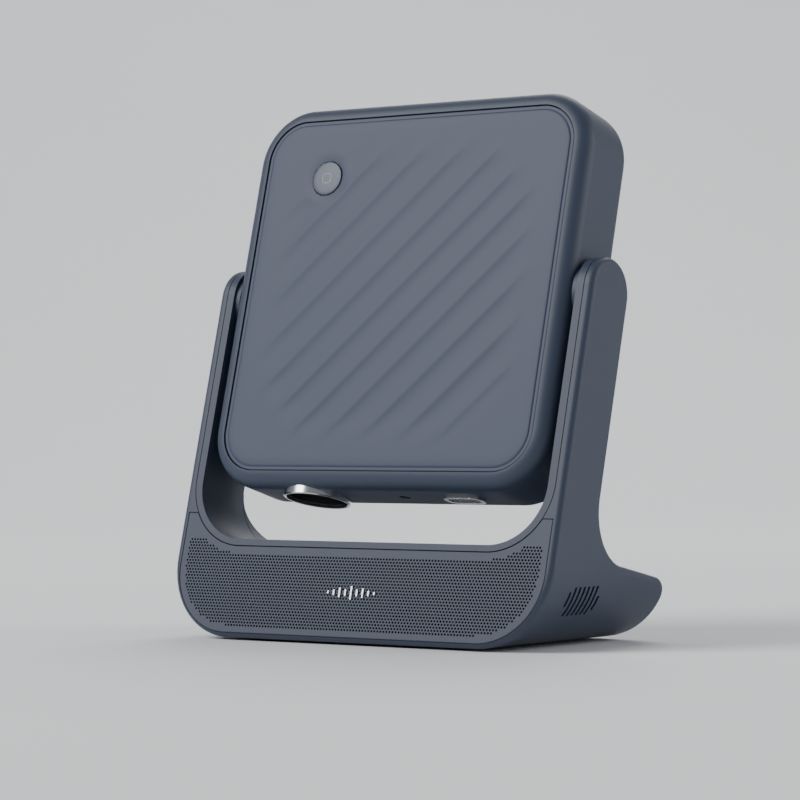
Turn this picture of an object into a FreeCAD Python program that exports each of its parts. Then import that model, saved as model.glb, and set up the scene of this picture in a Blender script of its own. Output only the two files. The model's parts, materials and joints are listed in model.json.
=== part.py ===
"""Home projector: a flat square projector head hung in a leaning U-shaped speaker stand.

Frame: +X to the right, +Y to the back, +Z up, millimetres. The origin is on the surface that
the feet stand on, at the middle of the stand's width and depth.
"""
import FreeCAD
import Part

import math
import os
import re

import Sketcher

Vector = FreeCAD.Vector
doc = FreeCAD.newDocument("home_projector")

# Driving dimensions, millimetres and degrees ------------------------------------------------

DIMENSIONS = {
    # stand, outside
    "stand_width": 190,
    "stand_depth": 101,
    "lean_angle": 15,
    "foot_height": 1,
    "arm_depth": 29.2,
    "arm_thickness": 7.8,
    "pivot_height": 150,
    "arm_rise": 1.1,
    "lip_height": 42.5,
    "foot_slope": 10.3,
    "base_corner": 32.3,
    "opening_corner": 25,
    "blend_radius": 22,
    "toe_radius": 9,
    "edge_radius": 2.5,
    # stand, inside
    "seam_width": 4.07,
    "liner_floor": 3,
    "seam_gap": 0.35,
    "liner_wall": 1.7,
    "shell_wall": 2.2,
    "base_floor": 3,
    "cavity_ceiling": 5,
    # speaker grille and its badge
    "grille_side_margin": 3,
    "grille_bottom": 2.2,
    "grille_top": 53.8,
    "grille_corner": 29,
    "grille_thickness": 1.6,
    "grille_ledge": 2.4,
    "grille_gap": 0.25,
    "grille_hole_pitch": 3,
    "grille_hole_diameter": 1.7,
    "grille_hole_margin": 4.6,
    "badge_height": 21,
    "badge_bar_width": 1.1,
    "badge_pitch": 2.9,
    "badge_thickness": 0.6,
    # side slots
    "slot_width": 1.6,
    "slot_pitch": 3.31,
    "slot_first": 25.1,
    "slot_top": 24.3,
    "slot_bottom": 12.8,
    "slot_slant": 2.1,
    # bottom cover, feet and tripod thread
    "bottom_cover_half_width": 58,
    "bottom_cover_margin": 7,
    "bottom_cover_thickness": 1.5,
    "bottom_cover_corner": 6,
    "bottom_cover_gap": 0.2,
    "bottom_ledge": 3,
    "bottom_ledge_corner": 14,
    "bottom_screw_inset": 4.4,
    "foot_radius": 5,
    "foot_recess": 0.6,
    "foot_inset": 10,
    "tripod_radius": 3.175,
    "tripod_wall": 1.8,
    "tripod_length": 8,
    # screws
    "screw_radius": 1,
    "screw_head_radius": 1.9,
    "screw_head_height": 0.9,
    "screw_length": 5,
    "screw_boss_radius": 3,
    "screw_boss_height": 4,
    # loudspeakers and amplifier
    "speaker_spacing": 92,
    "speaker_box_width": 52,
    "speaker_box_bottom": 9.6,
    "speaker_box_top": 36.4,
    "speaker_box_front": 6,
    "speaker_box_depth": 16,
    "speaker_box_wall": 1.4,
    "speaker_radius": 12,
    "speaker_flange": 1,
    "speaker_basket_depth": 6,
    "magnet_radius": 8,
    "magnet_thickness": 4,
    "amplifier_width": 76,
    "amplifier_depth": 40,
    "amplifier_back": 8,
    "amplifier_height": 8,
    "board_thickness": 1.4,
    "post_radius": 2,
    "post_inset": 4,
    # tilt hinge
    "arm_gap": 2.5,
    "collar_radius": 13.5,
    "collar_clearance": 0.2,
    "shaft_radius": 4,
    "shaft_clearance": 0.05,
    "shaft_flange_radius": 8,
    "hinge_hole_clearance": 0.6,
    "hinge_plate_thickness": 1,
    "hinge_plate_width": 20,
    "hinge_plate_length": 44,
    "spring_radius": 6.2,
    "spring_thickness": 0.9,
    "nut_width": 11,
    "nut_thickness": 1.8,
    "hinge_play": 0.1,
    "bracket_thickness": 1.5,
    "bracket_width": 22,
    "bracket_height": 30,
    # projector head
    "head_height": 169.8,
    "head_thickness": 34.4,
    "head_corner": 25,
    "head_edge": 6.5,
    "head_wall": 2.5,
    "head_rim": 4.2,
    "cover_margin": 6.6,
    "cover_corner": 17.8,
    "cover_gap": 0.5,
    "cover_thickness": 2.4,
    "ledge_width": 3,
    "ledge_corner": 30,
    "cover_screw_inset": 8.5,
    # ripples of the front cover
    "ripple_pitch": 13.8,
    "ripple_field": 66,
    "ripple_depth": 0.7,
    # power button
    "button_x": -45,
    "button_z": 51.5,
    "button_radius": 7.5,
    "button_gap": 0.2,
    "button_flange": 1.2,
    "button_travel": 0.6,
    "button_dish_radius": 11,
    "button_dish_depth": 0.5,
    "switch_gap": 0.1,
    # lens and focus drive
    "lens_x": -36,
    "lens_ring_radius": 14.4,
    "lens_ring_wall": 1.3,
    "lens_ring_projection": 2.2,
    "lens_ring_flange": 0.5,
    "lens_ring_seat": 0.3,
    "lens_ring_clearance": 0.1,
    "baffle_front_radius": 12.5,
    "baffle_rear_radius": 8.4,
    "baffle_depth": 6.4,
    "baffle_steps": 4,
    "front_lens_radius": 7.6,
    "cell_wall": 1.6,
    "cell_start": 10,
    "cell_length": 20,
    "cell_clearance": 0.1,
    "tube_wall": 1.6,
    "focus_screw_offset": 17,
    "focus_screw_radius": 1.2,
    "focus_motor_radius": 4,
    "focus_motor_length": 8.6,
    # light engine, cooling and boards
    "engine_start": 24,
    "engine_width": 42,
    "engine_length": 44,
    "engine_thickness": 25,
    "led_size": 11,
    "led_thickness": 3.6,
    "sink_base": 2.4,
    "sink_reach": 14,
    "fin_thickness": 0.9,
    "fin_pitch": 2.9,
    "fin_count": 8,
    "fan_x": -46,
    "fan_z": 30,
    "fan_size": 50,
    "fan_thickness": 14,
    "fan_bore": 23,
    "fan_hub": 10,
    "blade_gap": 0.7,
    "blade_count": 7,
    "main_board_left": -14,
    "main_board_right": 74,
    "main_board_bottom": -30,
    "main_board_top": 74,
    "main_board_y": 3,
    # sockets in the face opposite the lens
    "socket_depth": 12,
    "socket_recess": 1.6,
    "panel_width": 78,
    "panel_height": 14,
    "panel_thickness": 1.6,
    "panel_x": 18,
    # sensors beside the lens
    "sensor_x": 39,
    "sensor_width": 18.5,
    "sensor_height": 10,
    "sensor_frame_wall": 1.2,
    "sensor_projection": 1.3,
    "ir_x": 9,
    "ir_radius": 2.5,
    # vents of the rear cover
    "vent_width": 2,
    "vent_pitch": 5,
    "fan_vent_count": 9,
    "sink_vent_count": 7,
    "sink_vent_z": -46,
}

dims = doc.addObject("Spreadsheet::Sheet", "dims")
for row, (alias, number) in enumerate(DIMENSIONS.items(), start=1):
    dims.set(f"A{row}", alias)
    dims.set(f"B{row}", str(number))
    dims.setAlias(f"B{row}", alias)
doc.recompute()


def bound(text):
    """Prefix every alias in an expression with the sheet's name; functions keep theirs."""
    return re.sub(r"[a-z]\w*(?![\w(])", r"dims.\g<0>", text)


def value(text):
    """The number that an expression of aliases has now."""
    return float(dims.evalExpression(bound(text)))


# Places worked out from the driving dimensions ----------------------------------------------

ARM_INNER = "(stand_width / 2 - arm_thickness)"
SEAM_X = "(stand_width / 2 - seam_width)"
PIVOT_DEPTH = "(arm_depth / 2)"
HEAD_X = "(stand_width / 2 - arm_thickness - arm_gap)"
HEAD_Z = "(head_height / 2)"
HEAD_Y = "(head_thickness / 2)"
COVER_X = f"({HEAD_X} - cover_margin)"
COVER_Z = f"({HEAD_Z} - cover_margin)"
COVER_INNER = f"({HEAD_Y} - cover_thickness)"
SLOPE_TURN = "(lean_angle - foot_slope)"
LIP_T = f"(lip_height * cos({SLOPE_TURN}))"
FAR = "400"

FRAMES = {
    # origin at the front bottom edge of the stand, upright
    "stand": ("0", "0", "0", "0"),
    # the same origin, leaned so that local Y goes into the front face and Z runs up it
    "face": ("0", "0", "0", "lean_angle"),
    # the same origin, turned so that local Y runs down the sloping top of the base
    "slope": ("0", "0", "0", "foot_slope"),
    # origin on the tilt axis in the middle of the head, leaned like the face
    "head": ("0", PIVOT_DEPTH, "pivot_height", "lean_angle"),
}


def place(item, frame, x="0", y="0", z="0"):
    """Bind an object's Placement to a point of a frame, given in that frame's own axes."""
    frame_x, frame_y, frame_z, turn = FRAMES[frame]
    y = f"({y} + {frame_y})"
    z = f"({z} + {frame_z})"
    item.Placement = FreeCAD.Placement(Vector(), FreeCAD.Rotation(Vector(-1, 0, 0), value(turn)))
    if value(turn):
        item.setExpression("Placement.Rotation.Angle", bound(turn))
    item.setExpression("Placement.Base.x", bound(f"{x} + {frame_x}"))
    item.setExpression(
        "Placement.Base.y", bound(f"-stand_depth / 2 + {y} * cos({turn}) + {z} * sin({turn})"))
    item.setExpression(
        "Placement.Base.z", bound(f"foot_height + {z} * cos({turn}) - {y} * sin({turn})"))


# Sketches -----------------------------------------------------------------------------------

def outline(*corners):
    """A closed loop of corners (x, y) or (x, y, radius), where a radius gives a tangent arc."""
    def draw(sketch):
        points = [Vector(value(corner[0]), value(corner[1]), 0) for corner in corners]
        count = len(points)
        starts, ends, arcs = [], [], []
        for index, point in enumerate(points):
            before = (points[index - 1] - point).normalize()
            after = (points[(index + 1) % count] - point).normalize()
            if len(corners[index]) < 3:
                starts.append(point)
                ends.append(point)
                arcs.append(None)
                continue
            radius = value(corners[index][2])
            half_turn = (math.pi - before.getAngle(after)) / 2
            reach = radius * math.tan(half_turn)
            starts.append(point + before * reach)
            ends.append(point + after * reach)
            middle = (before + after).normalize() * (radius / math.cos(half_turn))
            left_turn = before.cross(after).z < 0
            arcs.append((point + middle, radius, left_turn))
        lines = []
        for index in range(count):
            segment = Part.LineSegment(ends[index], starts[(index + 1) % count])
            lines.append(sketch.addGeometry(segment, False))
        for index, arc in enumerate(arcs):
            x, y = corners[index][0], corners[index][1]
            line_in, line_out = lines[index - 1], lines[index]
            if arc is None:
                sketch.addConstraint(Sketcher.Constraint("Coincident", line_in, 2, line_out, 1))
                pin(sketch, line_out, 1, x, y)
                continue
            centre, radius, left_turn = arc
            first, last = (starts[index], ends[index]) if left_turn else (ends[index], starts[index])
            angle_first = math.atan2(first.y - centre.y, first.x - centre.x)
            angle_last = math.atan2(last.y - centre.y, last.x - centre.x)
            circle = Part.Circle(centre, Vector(0, 0, 1), radius)
            bend = sketch.addGeometry(Part.ArcOfCircle(circle, angle_first, angle_last), False)
            corner = sketch.addGeometry(Part.Point(points[index]), True)
            pin(sketch, corner, 1, x, y)
            in_end, out_end = (1, 2) if left_turn else (2, 1)
            sketch.addConstraint([
                Sketcher.Constraint("Tangent", line_in, 2, bend, in_end),
                Sketcher.Constraint("Tangent", line_out, 1, bend, out_end),
                Sketcher.Constraint("PointOnObject", corner, 1, line_in),
                Sketcher.Constraint("PointOnObject", corner, 1, line_out),
            ])
            size = sketch.addConstraint(Sketcher.Constraint("Radius", bend, radius))
            sketch.setExpression(f"Constraints[{size}]", bound(corners[index][2]))
    return draw


def pin(sketch, geometry, end, x, y):
    """Hold one point of a sketch at a place given by two expressions."""
    for kind, text in (("DistanceX", x), ("DistanceY", y)):
        rule = Sketcher.Constraint(kind, -1, 1, geometry, end, value(text))
        index = sketch.addConstraint(rule)
        sketch.setExpression(f"Constraints[{index}]", bound(text))


def box(left, right, bottom, top, radius=None):
    """A rectangle, with all four corners rounded where a radius is given."""
    corners = ((left, bottom), (right, bottom), (right, top), (left, top))
    if radius:
        corners = tuple(corner + (radius,) for corner in corners)
    return outline(*corners)


def centred(x, y, half_x, half_y, radius=None):
    """A rectangle about a centre."""
    return box(f"{x} - {half_x}", f"{x} + {half_x}", f"{y} - {half_y}", f"{y} + {half_y}", radius)


def disc(x, y, radius):
    """A full circle."""
    def draw(sketch):
        circle = Part.Circle(Vector(value(x), value(y), 0), Vector(0, 0, 1), value(radius))
        index = sketch.addGeometry(circle, False)
        pin(sketch, index, 3, x, y)
        size = sketch.addConstraint(Sketcher.Constraint("Radius", index, value(radius)))
        sketch.setExpression(f"Constraints[{size}]", bound(radius))
    return draw


def several(*shapes):
    """Several loops in one sketch; a loop inside another is a hole."""
    def draw(sketch):
        for shape in shapes:
            shape(sketch)
    return draw


# Bodies and features ------------------------------------------------------------------------

PLANES = {
    # name: (origin plane, axis of the extrusion, sign of the sketch's normal on that axis)
    "front": ("XZ_Plane", -1),
    "side": ("YZ_Plane", 1),
    "top": ("XY_Plane", 1),
}


def new_body(label, frame, x="0", y="0", z="0"):
    """An empty body placed at a point of a frame."""
    body = doc.addObject("PartDesign::Body", label)
    body.Label = label
    body.AllowCompound = True
    place(body, frame, x, y, z)
    return body


def origin_feature(body, role):
    return next(item for item in body.Origin.OriginFeatures if item.Role == role)


def new_sketch(body, plane, shape, offset="0"):
    """A sketch on one of the body's planes, moved along the extrusion axis by offset."""
    role, sign = PLANES[plane]
    sketch = body.newObject("Sketcher::SketchObject", "sketch")
    sketch.AttachmentSupport = [(origin_feature(body, role), "")]
    sketch.MapMode = "FlatFace"
    shape(sketch)
    if value(offset):
        sketch.AttachmentOffset = FreeCAD.Placement(
            Vector(0, 0, sign * value(offset)), FreeCAD.Rotation())
        sketch.setExpression("AttachmentOffset.Base.z", bound(f"{sign} * ({offset})"))
    doc.recompute()
    return sketch


def add(body, plane, shape, start, end):
    """Pad a shape from start to end along the plane's axis."""
    pad = body.newObject("PartDesign::Pad", "pad")
    pad.Profile = new_sketch(body, plane, shape, start)
    pad.Reversed = PLANES[plane][1] < 0
    pad.setExpression("Length", bound(f"{end} - ({start})"))
    doc.recompute()
    return pad


def cut(body, plane, shape, start, end):
    """Pocket a shape from start to end along the plane's axis."""
    before = body.Shape.Volume
    pocket = body.newObject("PartDesign::Pocket", "pocket")
    pocket.Profile = new_sketch(body, plane, shape, start)
    pocket.Reversed = PLANES[plane][1] > 0
    pocket.setExpression("Length", bound(f"{end} - ({start})"))
    doc.recompute()
    if body.Shape.Volume >= before - 1e-6:
        raise RuntimeError(f"a pocket of {body.Label} cut nothing")
    return pocket


def turn(body, plane, shape, axis):
    """Revolve a shape about one of the body's axes."""
    revolution = body.newObject("PartDesign::Revolution", "revolution")
    revolution.Profile = new_sketch(body, plane, shape)
    revolution.ReferenceAxis = (origin_feature(body, axis), [""])
    revolution.Angle = 360
    doc.recompute()
    return revolution


def fillet(body, radius, chosen):
    """Round the edges of a body's last feature for which chosen(edge) is true."""
    base = body.Tip
    names = [f"Edge{index}" for index, edge in enumerate(base.Shape.Edges, start=1)
             if chosen(edge)]
    if not names:
        raise RuntimeError(f"no edges of {body.Label} to round")
    rounding = body.newObject("PartDesign::Fillet", "fillet")
    rounding.Base = (base, names)
    rounding.Radius = value(radius)
    rounding.setExpression("Radius", bound(radius))
    doc.recompute()
    return rounding


def repeat(body, feature, axis, count, angle=360):
    """Repeat a feature evenly about one of the body's axes."""
    pattern = body.newObject("PartDesign::PolarPattern", "pattern")
    pattern.Originals = [feature]
    pattern.Axis = (origin_feature(body, axis), [""])
    pattern.Angle = angle
    pattern.setExpression("Occurrences", bound(count))
    body.Tip = pattern
    doc.recompute()
    return pattern


def boolean(kind, label, base, tools):
    """Cut or Common of a base with one tool or with the union of several."""
    tool = tools[0]
    if len(tools) > 1:
        tool = doc.addObject("Part::MultiFuse", f"{label}_tools")
        tool.Shapes = tools
    result = doc.addObject(f"Part::{kind}", label)
    result.Label = label
    result.Base = base
    result.Tool = tool
    doc.recompute()
    return result


# Stand: the block that the shell and the liner are cut from ----------------------------------

def opening(grow, corner, floor):
    """The U-shaped opening between the arms, seen along the slope of the base top."""
    half = f"({ARM_INNER} + {grow})"
    return outline((f"-{half}", FAR), (f"-{half}", f"{LIP_T} - {floor}", corner),
                   (half, f"{LIP_T} - {floor}", corner), (half, FAR))


def is_rim_face(face):
    """Side, bottom or rounded bottom corner: the faces whose outline is rounded all round."""
    surface = face.Surface
    if isinstance(surface, Part.Plane):
        return abs(surface.Axis.x) > 0.99 or (abs(surface.Axis.z) > 0.999
                                              and face.BoundBox.ZMax < 1e-3)
    return isinstance(surface, Part.Cylinder) and abs(surface.Axis.y) > 0.99


block = new_body("stand_block", "stand")
ARM_BACK_Y = "arm_depth / cos(lean_angle)"
ARM_TOP = "(pivot_height + arm_rise)"
BLEND_Y = (f"((lip_height * (cos(lean_angle) + sin(lean_angle) * tan(foot_slope)) "
           f"+ {ARM_BACK_Y} / tan(lean_angle)) / (tan(foot_slope) + 1 / tan(lean_angle)))")
BLEND_Z = (f"(lip_height * (cos(lean_angle) + sin(lean_angle) * tan(foot_slope)) "
           f"- {BLEND_Y} * tan(foot_slope))")
TOE_Z = ("(lip_height * cos(lean_angle) "
         "- (stand_depth - lip_height * sin(lean_angle)) * tan(foot_slope))")
add(block, "side", outline(
    ("0", "0"), ("stand_depth", "0"), ("stand_depth", TOE_Z, "toe_radius"),
    (BLEND_Y, BLEND_Z, "blend_radius"),
    (f"{ARM_TOP} * sin(lean_angle) + arm_depth * cos(lean_angle)",
     f"{ARM_TOP} * cos(lean_angle) - arm_depth * sin(lean_angle)"),
    (f"{ARM_TOP} * sin(lean_angle)", f"{ARM_TOP} * cos(lean_angle)")),
    "-stand_width / 2", "stand_width / 2")
add(block, "side", disc(f"{ARM_TOP} * sin(lean_angle) + {PIVOT_DEPTH} * cos(lean_angle)",
                        f"{ARM_TOP} * cos(lean_angle) - {PIVOT_DEPTH} * sin(lean_angle)",
                        PIVOT_DEPTH), "-stand_width / 2", "stand_width / 2")
cut(block, "front", several(
    box("-stand_width", "stand_width", "-stand_width", FAR),
    outline(("-stand_width / 2", f"{FAR} - 1"), ("-stand_width / 2", "0", "base_corner"),
            ("stand_width / 2", "0", "base_corner"), ("stand_width / 2", f"{FAR} - 1"))),
    f"-{FAR}", FAR)
rim_faces = [face for face in block.Tip.Shape.Faces if is_rim_face(face)]


def on_rim(edge):
    """An edge that one rim face shares with a face that is not one."""
    return sum(any(edge.isSame(other) for other in face.Edges) for face in rim_faces) == 1


fillet(block, "edge_radius", on_rim)

# The opening between the arms, and the zone that the liner fills around it.
opening_tool = new_body("opening_tool", "slope")
add(opening_tool, "front", opening("0", "opening_corner", "0"), f"-{FAR}", FAR)
stand_form = boolean("Cut", "stand_form", block, [opening_tool])


def liner_zone(label, shrink):
    """The space of the liner round the opening, over the depth of the arms."""
    band = new_body(f"{label}_band", "slope")
    add(band, "front", opening(f"arm_thickness - seam_width - {shrink}",
                               f"opening_corner + arm_thickness - seam_width - {shrink}",
                               f"(liner_floor - {shrink})"), f"-{FAR}", FAR)
    slab = new_body(f"{label}_slab", "face")
    add(slab, "side", box("-10", f"arm_depth - {shrink}", "-10", FAR),
        "-stand_width", "stand_width")
    return boolean("Common", label, band, [slab])


liner_seat = liner_zone("liner_seat", "0")
liner_space = liner_zone("liner_space", "seam_gap")

# Hollows: one in each arm, one in the base, and the front opening behind the grille.
arm_cavity = new_body("arm_cavity", "face")
CAVITY_IN = f"({ARM_INNER} + liner_wall)"
CAVITY_OUT = "(stand_width / 2 - shell_wall)"
for side in ("", "-"):
    near, far = (CAVITY_IN, CAVITY_OUT) if not side else (f"-{CAVITY_OUT}", f"-{CAVITY_IN}")
    add(arm_cavity, "side", box("shell_wall", "arm_depth - shell_wall",
                                "base_corner", "pivot_height"), near, far)
    add(arm_cavity, "side", disc(PIVOT_DEPTH, "pivot_height", f"{PIVOT_DEPTH} - shell_wall"),
        near, far)

hinge_bore = new_body("hinge_bore", "face")
add(hinge_bore, "side", disc(PIVOT_DEPTH, "pivot_height", "shaft_radius + hinge_hole_clearance"),
    f"-{CAVITY_IN} - 0.5", f"{CAVITY_IN} + 0.5")

cavity_side = new_body("cavity_side", "stand")
LEDGE_BACK = "(grille_thickness + grille_ledge)"
INNER_TOP = "(lip_height * cos(lean_angle) - cavity_ceiling / cos(foot_slope))"
add(cavity_side, "side", outline(
    (f"{LEDGE_BACK} / cos(lean_angle) + base_floor * tan(lean_angle)", "base_floor"),
    ("stand_depth - shell_wall", "base_floor"),
    ("stand_depth - shell_wall",
     f"{INNER_TOP} - (stand_depth - lip_height * sin(lean_angle)) * tan(foot_slope)"),
    (f"{LEDGE_BACK} / cos(lean_angle) + lip_height * sin(lean_angle)", INNER_TOP)),
    "-stand_width / 2", "stand_width / 2")
cavity_front = new_body("cavity_front", "stand")
add(cavity_front, "front", outline(
    (f"-{CAVITY_OUT}", FAR), (f"-{CAVITY_OUT}", "shell_wall", "base_corner - shell_wall"),
    (CAVITY_OUT, "shell_wall", "base_corner - shell_wall"), (CAVITY_OUT, FAR)), "-10", FAR)
base_cavity = boolean("Common", "base_cavity", cavity_side, [cavity_front])


# Speaker grille ------------------------------------------------------------------------------

def grille_plate(label, shrink, front, back):
    """The front panel's outline: rounded below, following the liner's band above."""
    half = f"(stand_width / 2 - grille_side_margin - {shrink})"
    low = f"(grille_bottom + {shrink})"
    plate = new_body(label, "face")
    add(plate, "front", outline(
        (f"-{half}", low, f"grille_corner - {shrink}"), (half, low, f"grille_corner - {shrink}"),
        (half, f"grille_top - {shrink}"), (f"-{half}", f"grille_top - {shrink}")), front, back)
    band = f"({SEAM_X} + {shrink})"
    floor = f"(lip_height - liner_floor - {shrink})"
    corner = f"(opening_corner + arm_thickness - seam_width + {shrink})"
    cut(plate, "front", outline((f"-{band}", FAR), (f"-{band}", floor, corner),
                                (band, floor, corner), (band, FAR)), "-20", "40")
    return plate


grille_recess = grille_plate("grille_recess", "0", "-5", "grille_thickness")
grille_opening = grille_plate("grille_opening", "grille_ledge", "-5", f"{LEDGE_BACK} + 1.5")
grille_blank = grille_plate("grille_blank", "grille_gap", "0", "grille_thickness")


def perforated(blank):
    """The plate with staggered rows of round holes that keep a margin to its outline."""
    face_up = FreeCAD.Rotation(Vector(1, 0, 0), 0)
    plate = blank.Shape.copy()
    plate.Placement = FreeCAD.Placement(Vector(), face_up)
    front = next(face for face in plate.Faces
                 if face.normalAt(0, 0).y < -0.99 and face.BoundBox.YMax < 1e-6)
    border = front.OuterWire
    pitch = value("grille_hole_pitch")
    margin = value("grille_hole_margin")
    row_step = pitch * math.sqrt(3) / 2
    reach = value("stand_width / 2")
    holes = []
    for row in range(int(value("grille_top") / row_step) + 1):
        height = value("grille_bottom + grille_hole_margin") + row * row_step
        shift = pitch / 2 * (row % 2)
        for column in range(-int(reach / pitch) - 1, int(reach / pitch) + 2):
            centre = Vector(column * pitch + shift, 0, height)
            if not front.isInside(centre, 1e-6, True):
                continue
            if border.distToShape(Part.Vertex(centre))[0] < margin:
                continue
            circle = Part.makeCircle(value("grille_hole_diameter / 2"), centre, Vector(0, 1, 0))
            holes.append(Part.Wire(circle))
    sheet = Part.makeFace([border] + holes, "Part::FaceMakerBullseye")
    return sheet.extrude(Vector(0, value("grille_thickness"), 0))


grille = doc.addObject("Part::Feature", "speaker_grille")
grille.Label = "speaker_grille"
grille.Shape = perforated(grille_blank)
place(grille, "face")

badge = new_body("grille_badge", "face")
BADGE_HEIGHTS = ("1.6", "2.8", "4.4", "3.2", "6", "3.2", "4.4", "2.8", "1.6")
bars = []
for index, height in enumerate(BADGE_HEIGHTS):
    middle = f"{index - len(BADGE_HEIGHTS) // 2} * badge_pitch"
    bars.append(centred(middle, "badge_height", "badge_bar_width / 2", f"{height} / 2",
                        "badge_bar_width / 2 - 0.02"))
add(badge, "front", several(*bars), "-badge_thickness", "0")

# Side slots, cut through both sides of the base, with a short one at each end.
SLOT_SLOPE = "(slot_slant / (slot_top - slot_bottom))"
slots = new_body("side_slots", "stand")
for index in range(8):
    foot = f"(slot_first + {index - 1} * slot_pitch)"
    short = {0: ("slot_top - 7.6", "slot_top - 1.7"), 7: ("slot_bottom + 1.6", "slot_top - 4.2")}
    low, high = short.get(index, ("slot_bottom", "slot_top"))
    low_y = f"({foot} + ({low} - slot_bottom) * {SLOT_SLOPE})"
    high_y = f"({foot} + ({high} - slot_bottom) * {SLOT_SLOPE})"
    add(slots, "side", outline((low_y, low), (f"{low_y} + slot_width", low),
                               (f"{high_y} + slot_width", high), (high_y, high)),
        "-stand_width / 2 - 1", "stand_width / 2 + 1")
slot_keep = new_body("slot_keep", "stand")
add(slot_keep, "side", box("0", "stand_depth", "0", FAR), "-stand_width / 2 + 16",
    "stand_width / 2 - 16")
slot_tool = boolean("Cut", "slot_tool", slots, [slot_keep])

# Bottom opening with a ledge for the cover.
COVER_MIDDLE_Y = "(stand_depth / 2)"
COVER_HALF_Y = "(stand_depth / 2 - bottom_cover_margin)"
BOTTOM_SCREWS = [(f"{x} * (bottom_cover_half_width - bottom_screw_inset)",
                  f"{COVER_MIDDLE_Y} + {y} * ({COVER_HALF_Y} - bottom_screw_inset)")
                 for x in ("-1", "1") for y in ("-1", "1")]
bottom_recess = new_body("bottom_recess", "stand")
add(bottom_recess, "top", centred("0", COVER_MIDDLE_Y, "bottom_cover_half_width", COVER_HALF_Y,
                                  "bottom_cover_corner"), "-5", "bottom_cover_thickness")
add(bottom_recess, "top", centred("0", COVER_MIDDLE_Y, "(bottom_cover_half_width - bottom_ledge)",
                                  f"({COVER_HALF_Y} - bottom_ledge)", "bottom_ledge_corner"),
    "bottom_cover_thickness", "base_floor + 0.5")
add(bottom_recess, "top", several(*[disc(x, y, "screw_radius") for x, y in BOTTOM_SCREWS]),
    "bottom_cover_thickness", "base_floor + 0.5")

shell_form = boolean("Cut", "shell_form", stand_form, [liner_seat])
stand_shell = boolean("Cut", "stand_shell", shell_form, [
    arm_cavity, base_cavity, grille_recess, grille_opening, slot_tool, bottom_recess])
liner_form = boolean("Common", "liner_form", stand_form, [liner_space])
stand_liner = boolean("Cut", "stand_liner", liner_form, [arm_cavity, hinge_bore])

bottom_cover = new_body("bottom_cover", "stand")
add(bottom_cover, "top", centred(
    "0", COVER_MIDDLE_Y, "(bottom_cover_half_width - bottom_cover_gap)",
    f"({COVER_HALF_Y} - bottom_cover_gap)", "bottom_cover_corner - bottom_cover_gap"),
    "0", "bottom_cover_thickness")
AMPLIFIER_Y = "(stand_depth - amplifier_back - amplifier_depth / 2)"
AMPLIFIER_POSTS = [(f"{x} * (amplifier_width / 2 - post_inset)",
                    f"{AMPLIFIER_Y} + {y} * (amplifier_depth / 2 - post_inset)")
                   for x in ("-1", "1") for y in ("-1", "1")]
add(bottom_cover, "top", several(*[disc(x, y, "post_radius") for x, y in AMPLIFIER_POSTS]),
    "bottom_cover_thickness", "amplifier_height")
TRIPOD_OUTER = "(tripod_radius + tripod_wall)"
TRIPOD_Y = "(stand_depth / 2 - 12)"
add(bottom_cover, "top", disc("0", TRIPOD_Y, f"{TRIPOD_OUTER} + 2"), "bottom_cover_thickness",
    "tripod_length")
cut(bottom_cover, "top", disc("0", TRIPOD_Y, TRIPOD_OUTER), "0", "tripod_length")
cut(bottom_cover, "top", several(*[disc(x, y, "screw_head_radius + 0.1")
                                   for x, y in BOTTOM_SCREWS]), "0", "screw_head_height")
cut(bottom_cover, "top", several(*[disc(x, y, "screw_radius + 0.1") for x, y in BOTTOM_SCREWS]),
    "screw_head_height", "bottom_cover_thickness")
FEET = [(f"{x} * (bottom_cover_half_width - foot_inset)",
         f"{COVER_MIDDLE_Y} + {y} * ({COVER_HALF_Y} - foot_inset)")
        for x in ("-1", "1") for y in ("-1", "1")]
cut(bottom_cover, "top", several(*[disc(x, y, "foot_radius") for x, y in FEET]),
    "0", "foot_recess")

rubber_feet = new_body("rubber_feet", "stand")
add(rubber_feet, "top", several(*[disc(x, y, "foot_radius") for x, y in FEET]),
    "-foot_height", "foot_recess")

tripod_insert = new_body("tripod_insert", "stand")
add(tripod_insert, "top", several(disc("0", TRIPOD_Y, TRIPOD_OUTER),
                                  disc("0", TRIPOD_Y, "tripod_radius")), "0", "tripod_length")


def screws(label, frame, plane, places, head_start, shank_end, inward=True):
    """A group of identical flat-head screws, each with a cross-shaped drive."""
    group = new_body(label, frame)
    head_end = (f"({head_start} + screw_head_height)" if inward
                else f"({head_start} - screw_head_height)")
    heads = several(*[disc(x, y, "screw_head_radius") for x, y in places])
    shanks = several(*[disc(x, y, "screw_radius") for x, y in places])
    if inward:
        add(group, plane, heads, head_start, head_end)
        add(group, plane, shanks, head_end, shank_end)
        drive = (head_start, f"{head_start} + 0.5")
    else:
        add(group, plane, heads, head_end, head_start)
        add(group, plane, shanks, shank_end, head_end)
        drive = (f"{head_start} - 0.5", head_start)
    for half_x, half_y in (("1.2", "0.25"), ("0.25", "1.2")):
        cut(group, plane, several(*[centred(x, y, half_x, half_y) for x, y in places]), *drive)
    return group


screws("base_screws", "stand", "top", BOTTOM_SCREWS, "0", "screw_length")

# Loudspeakers ---------------------------------------------------------------------------------

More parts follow.
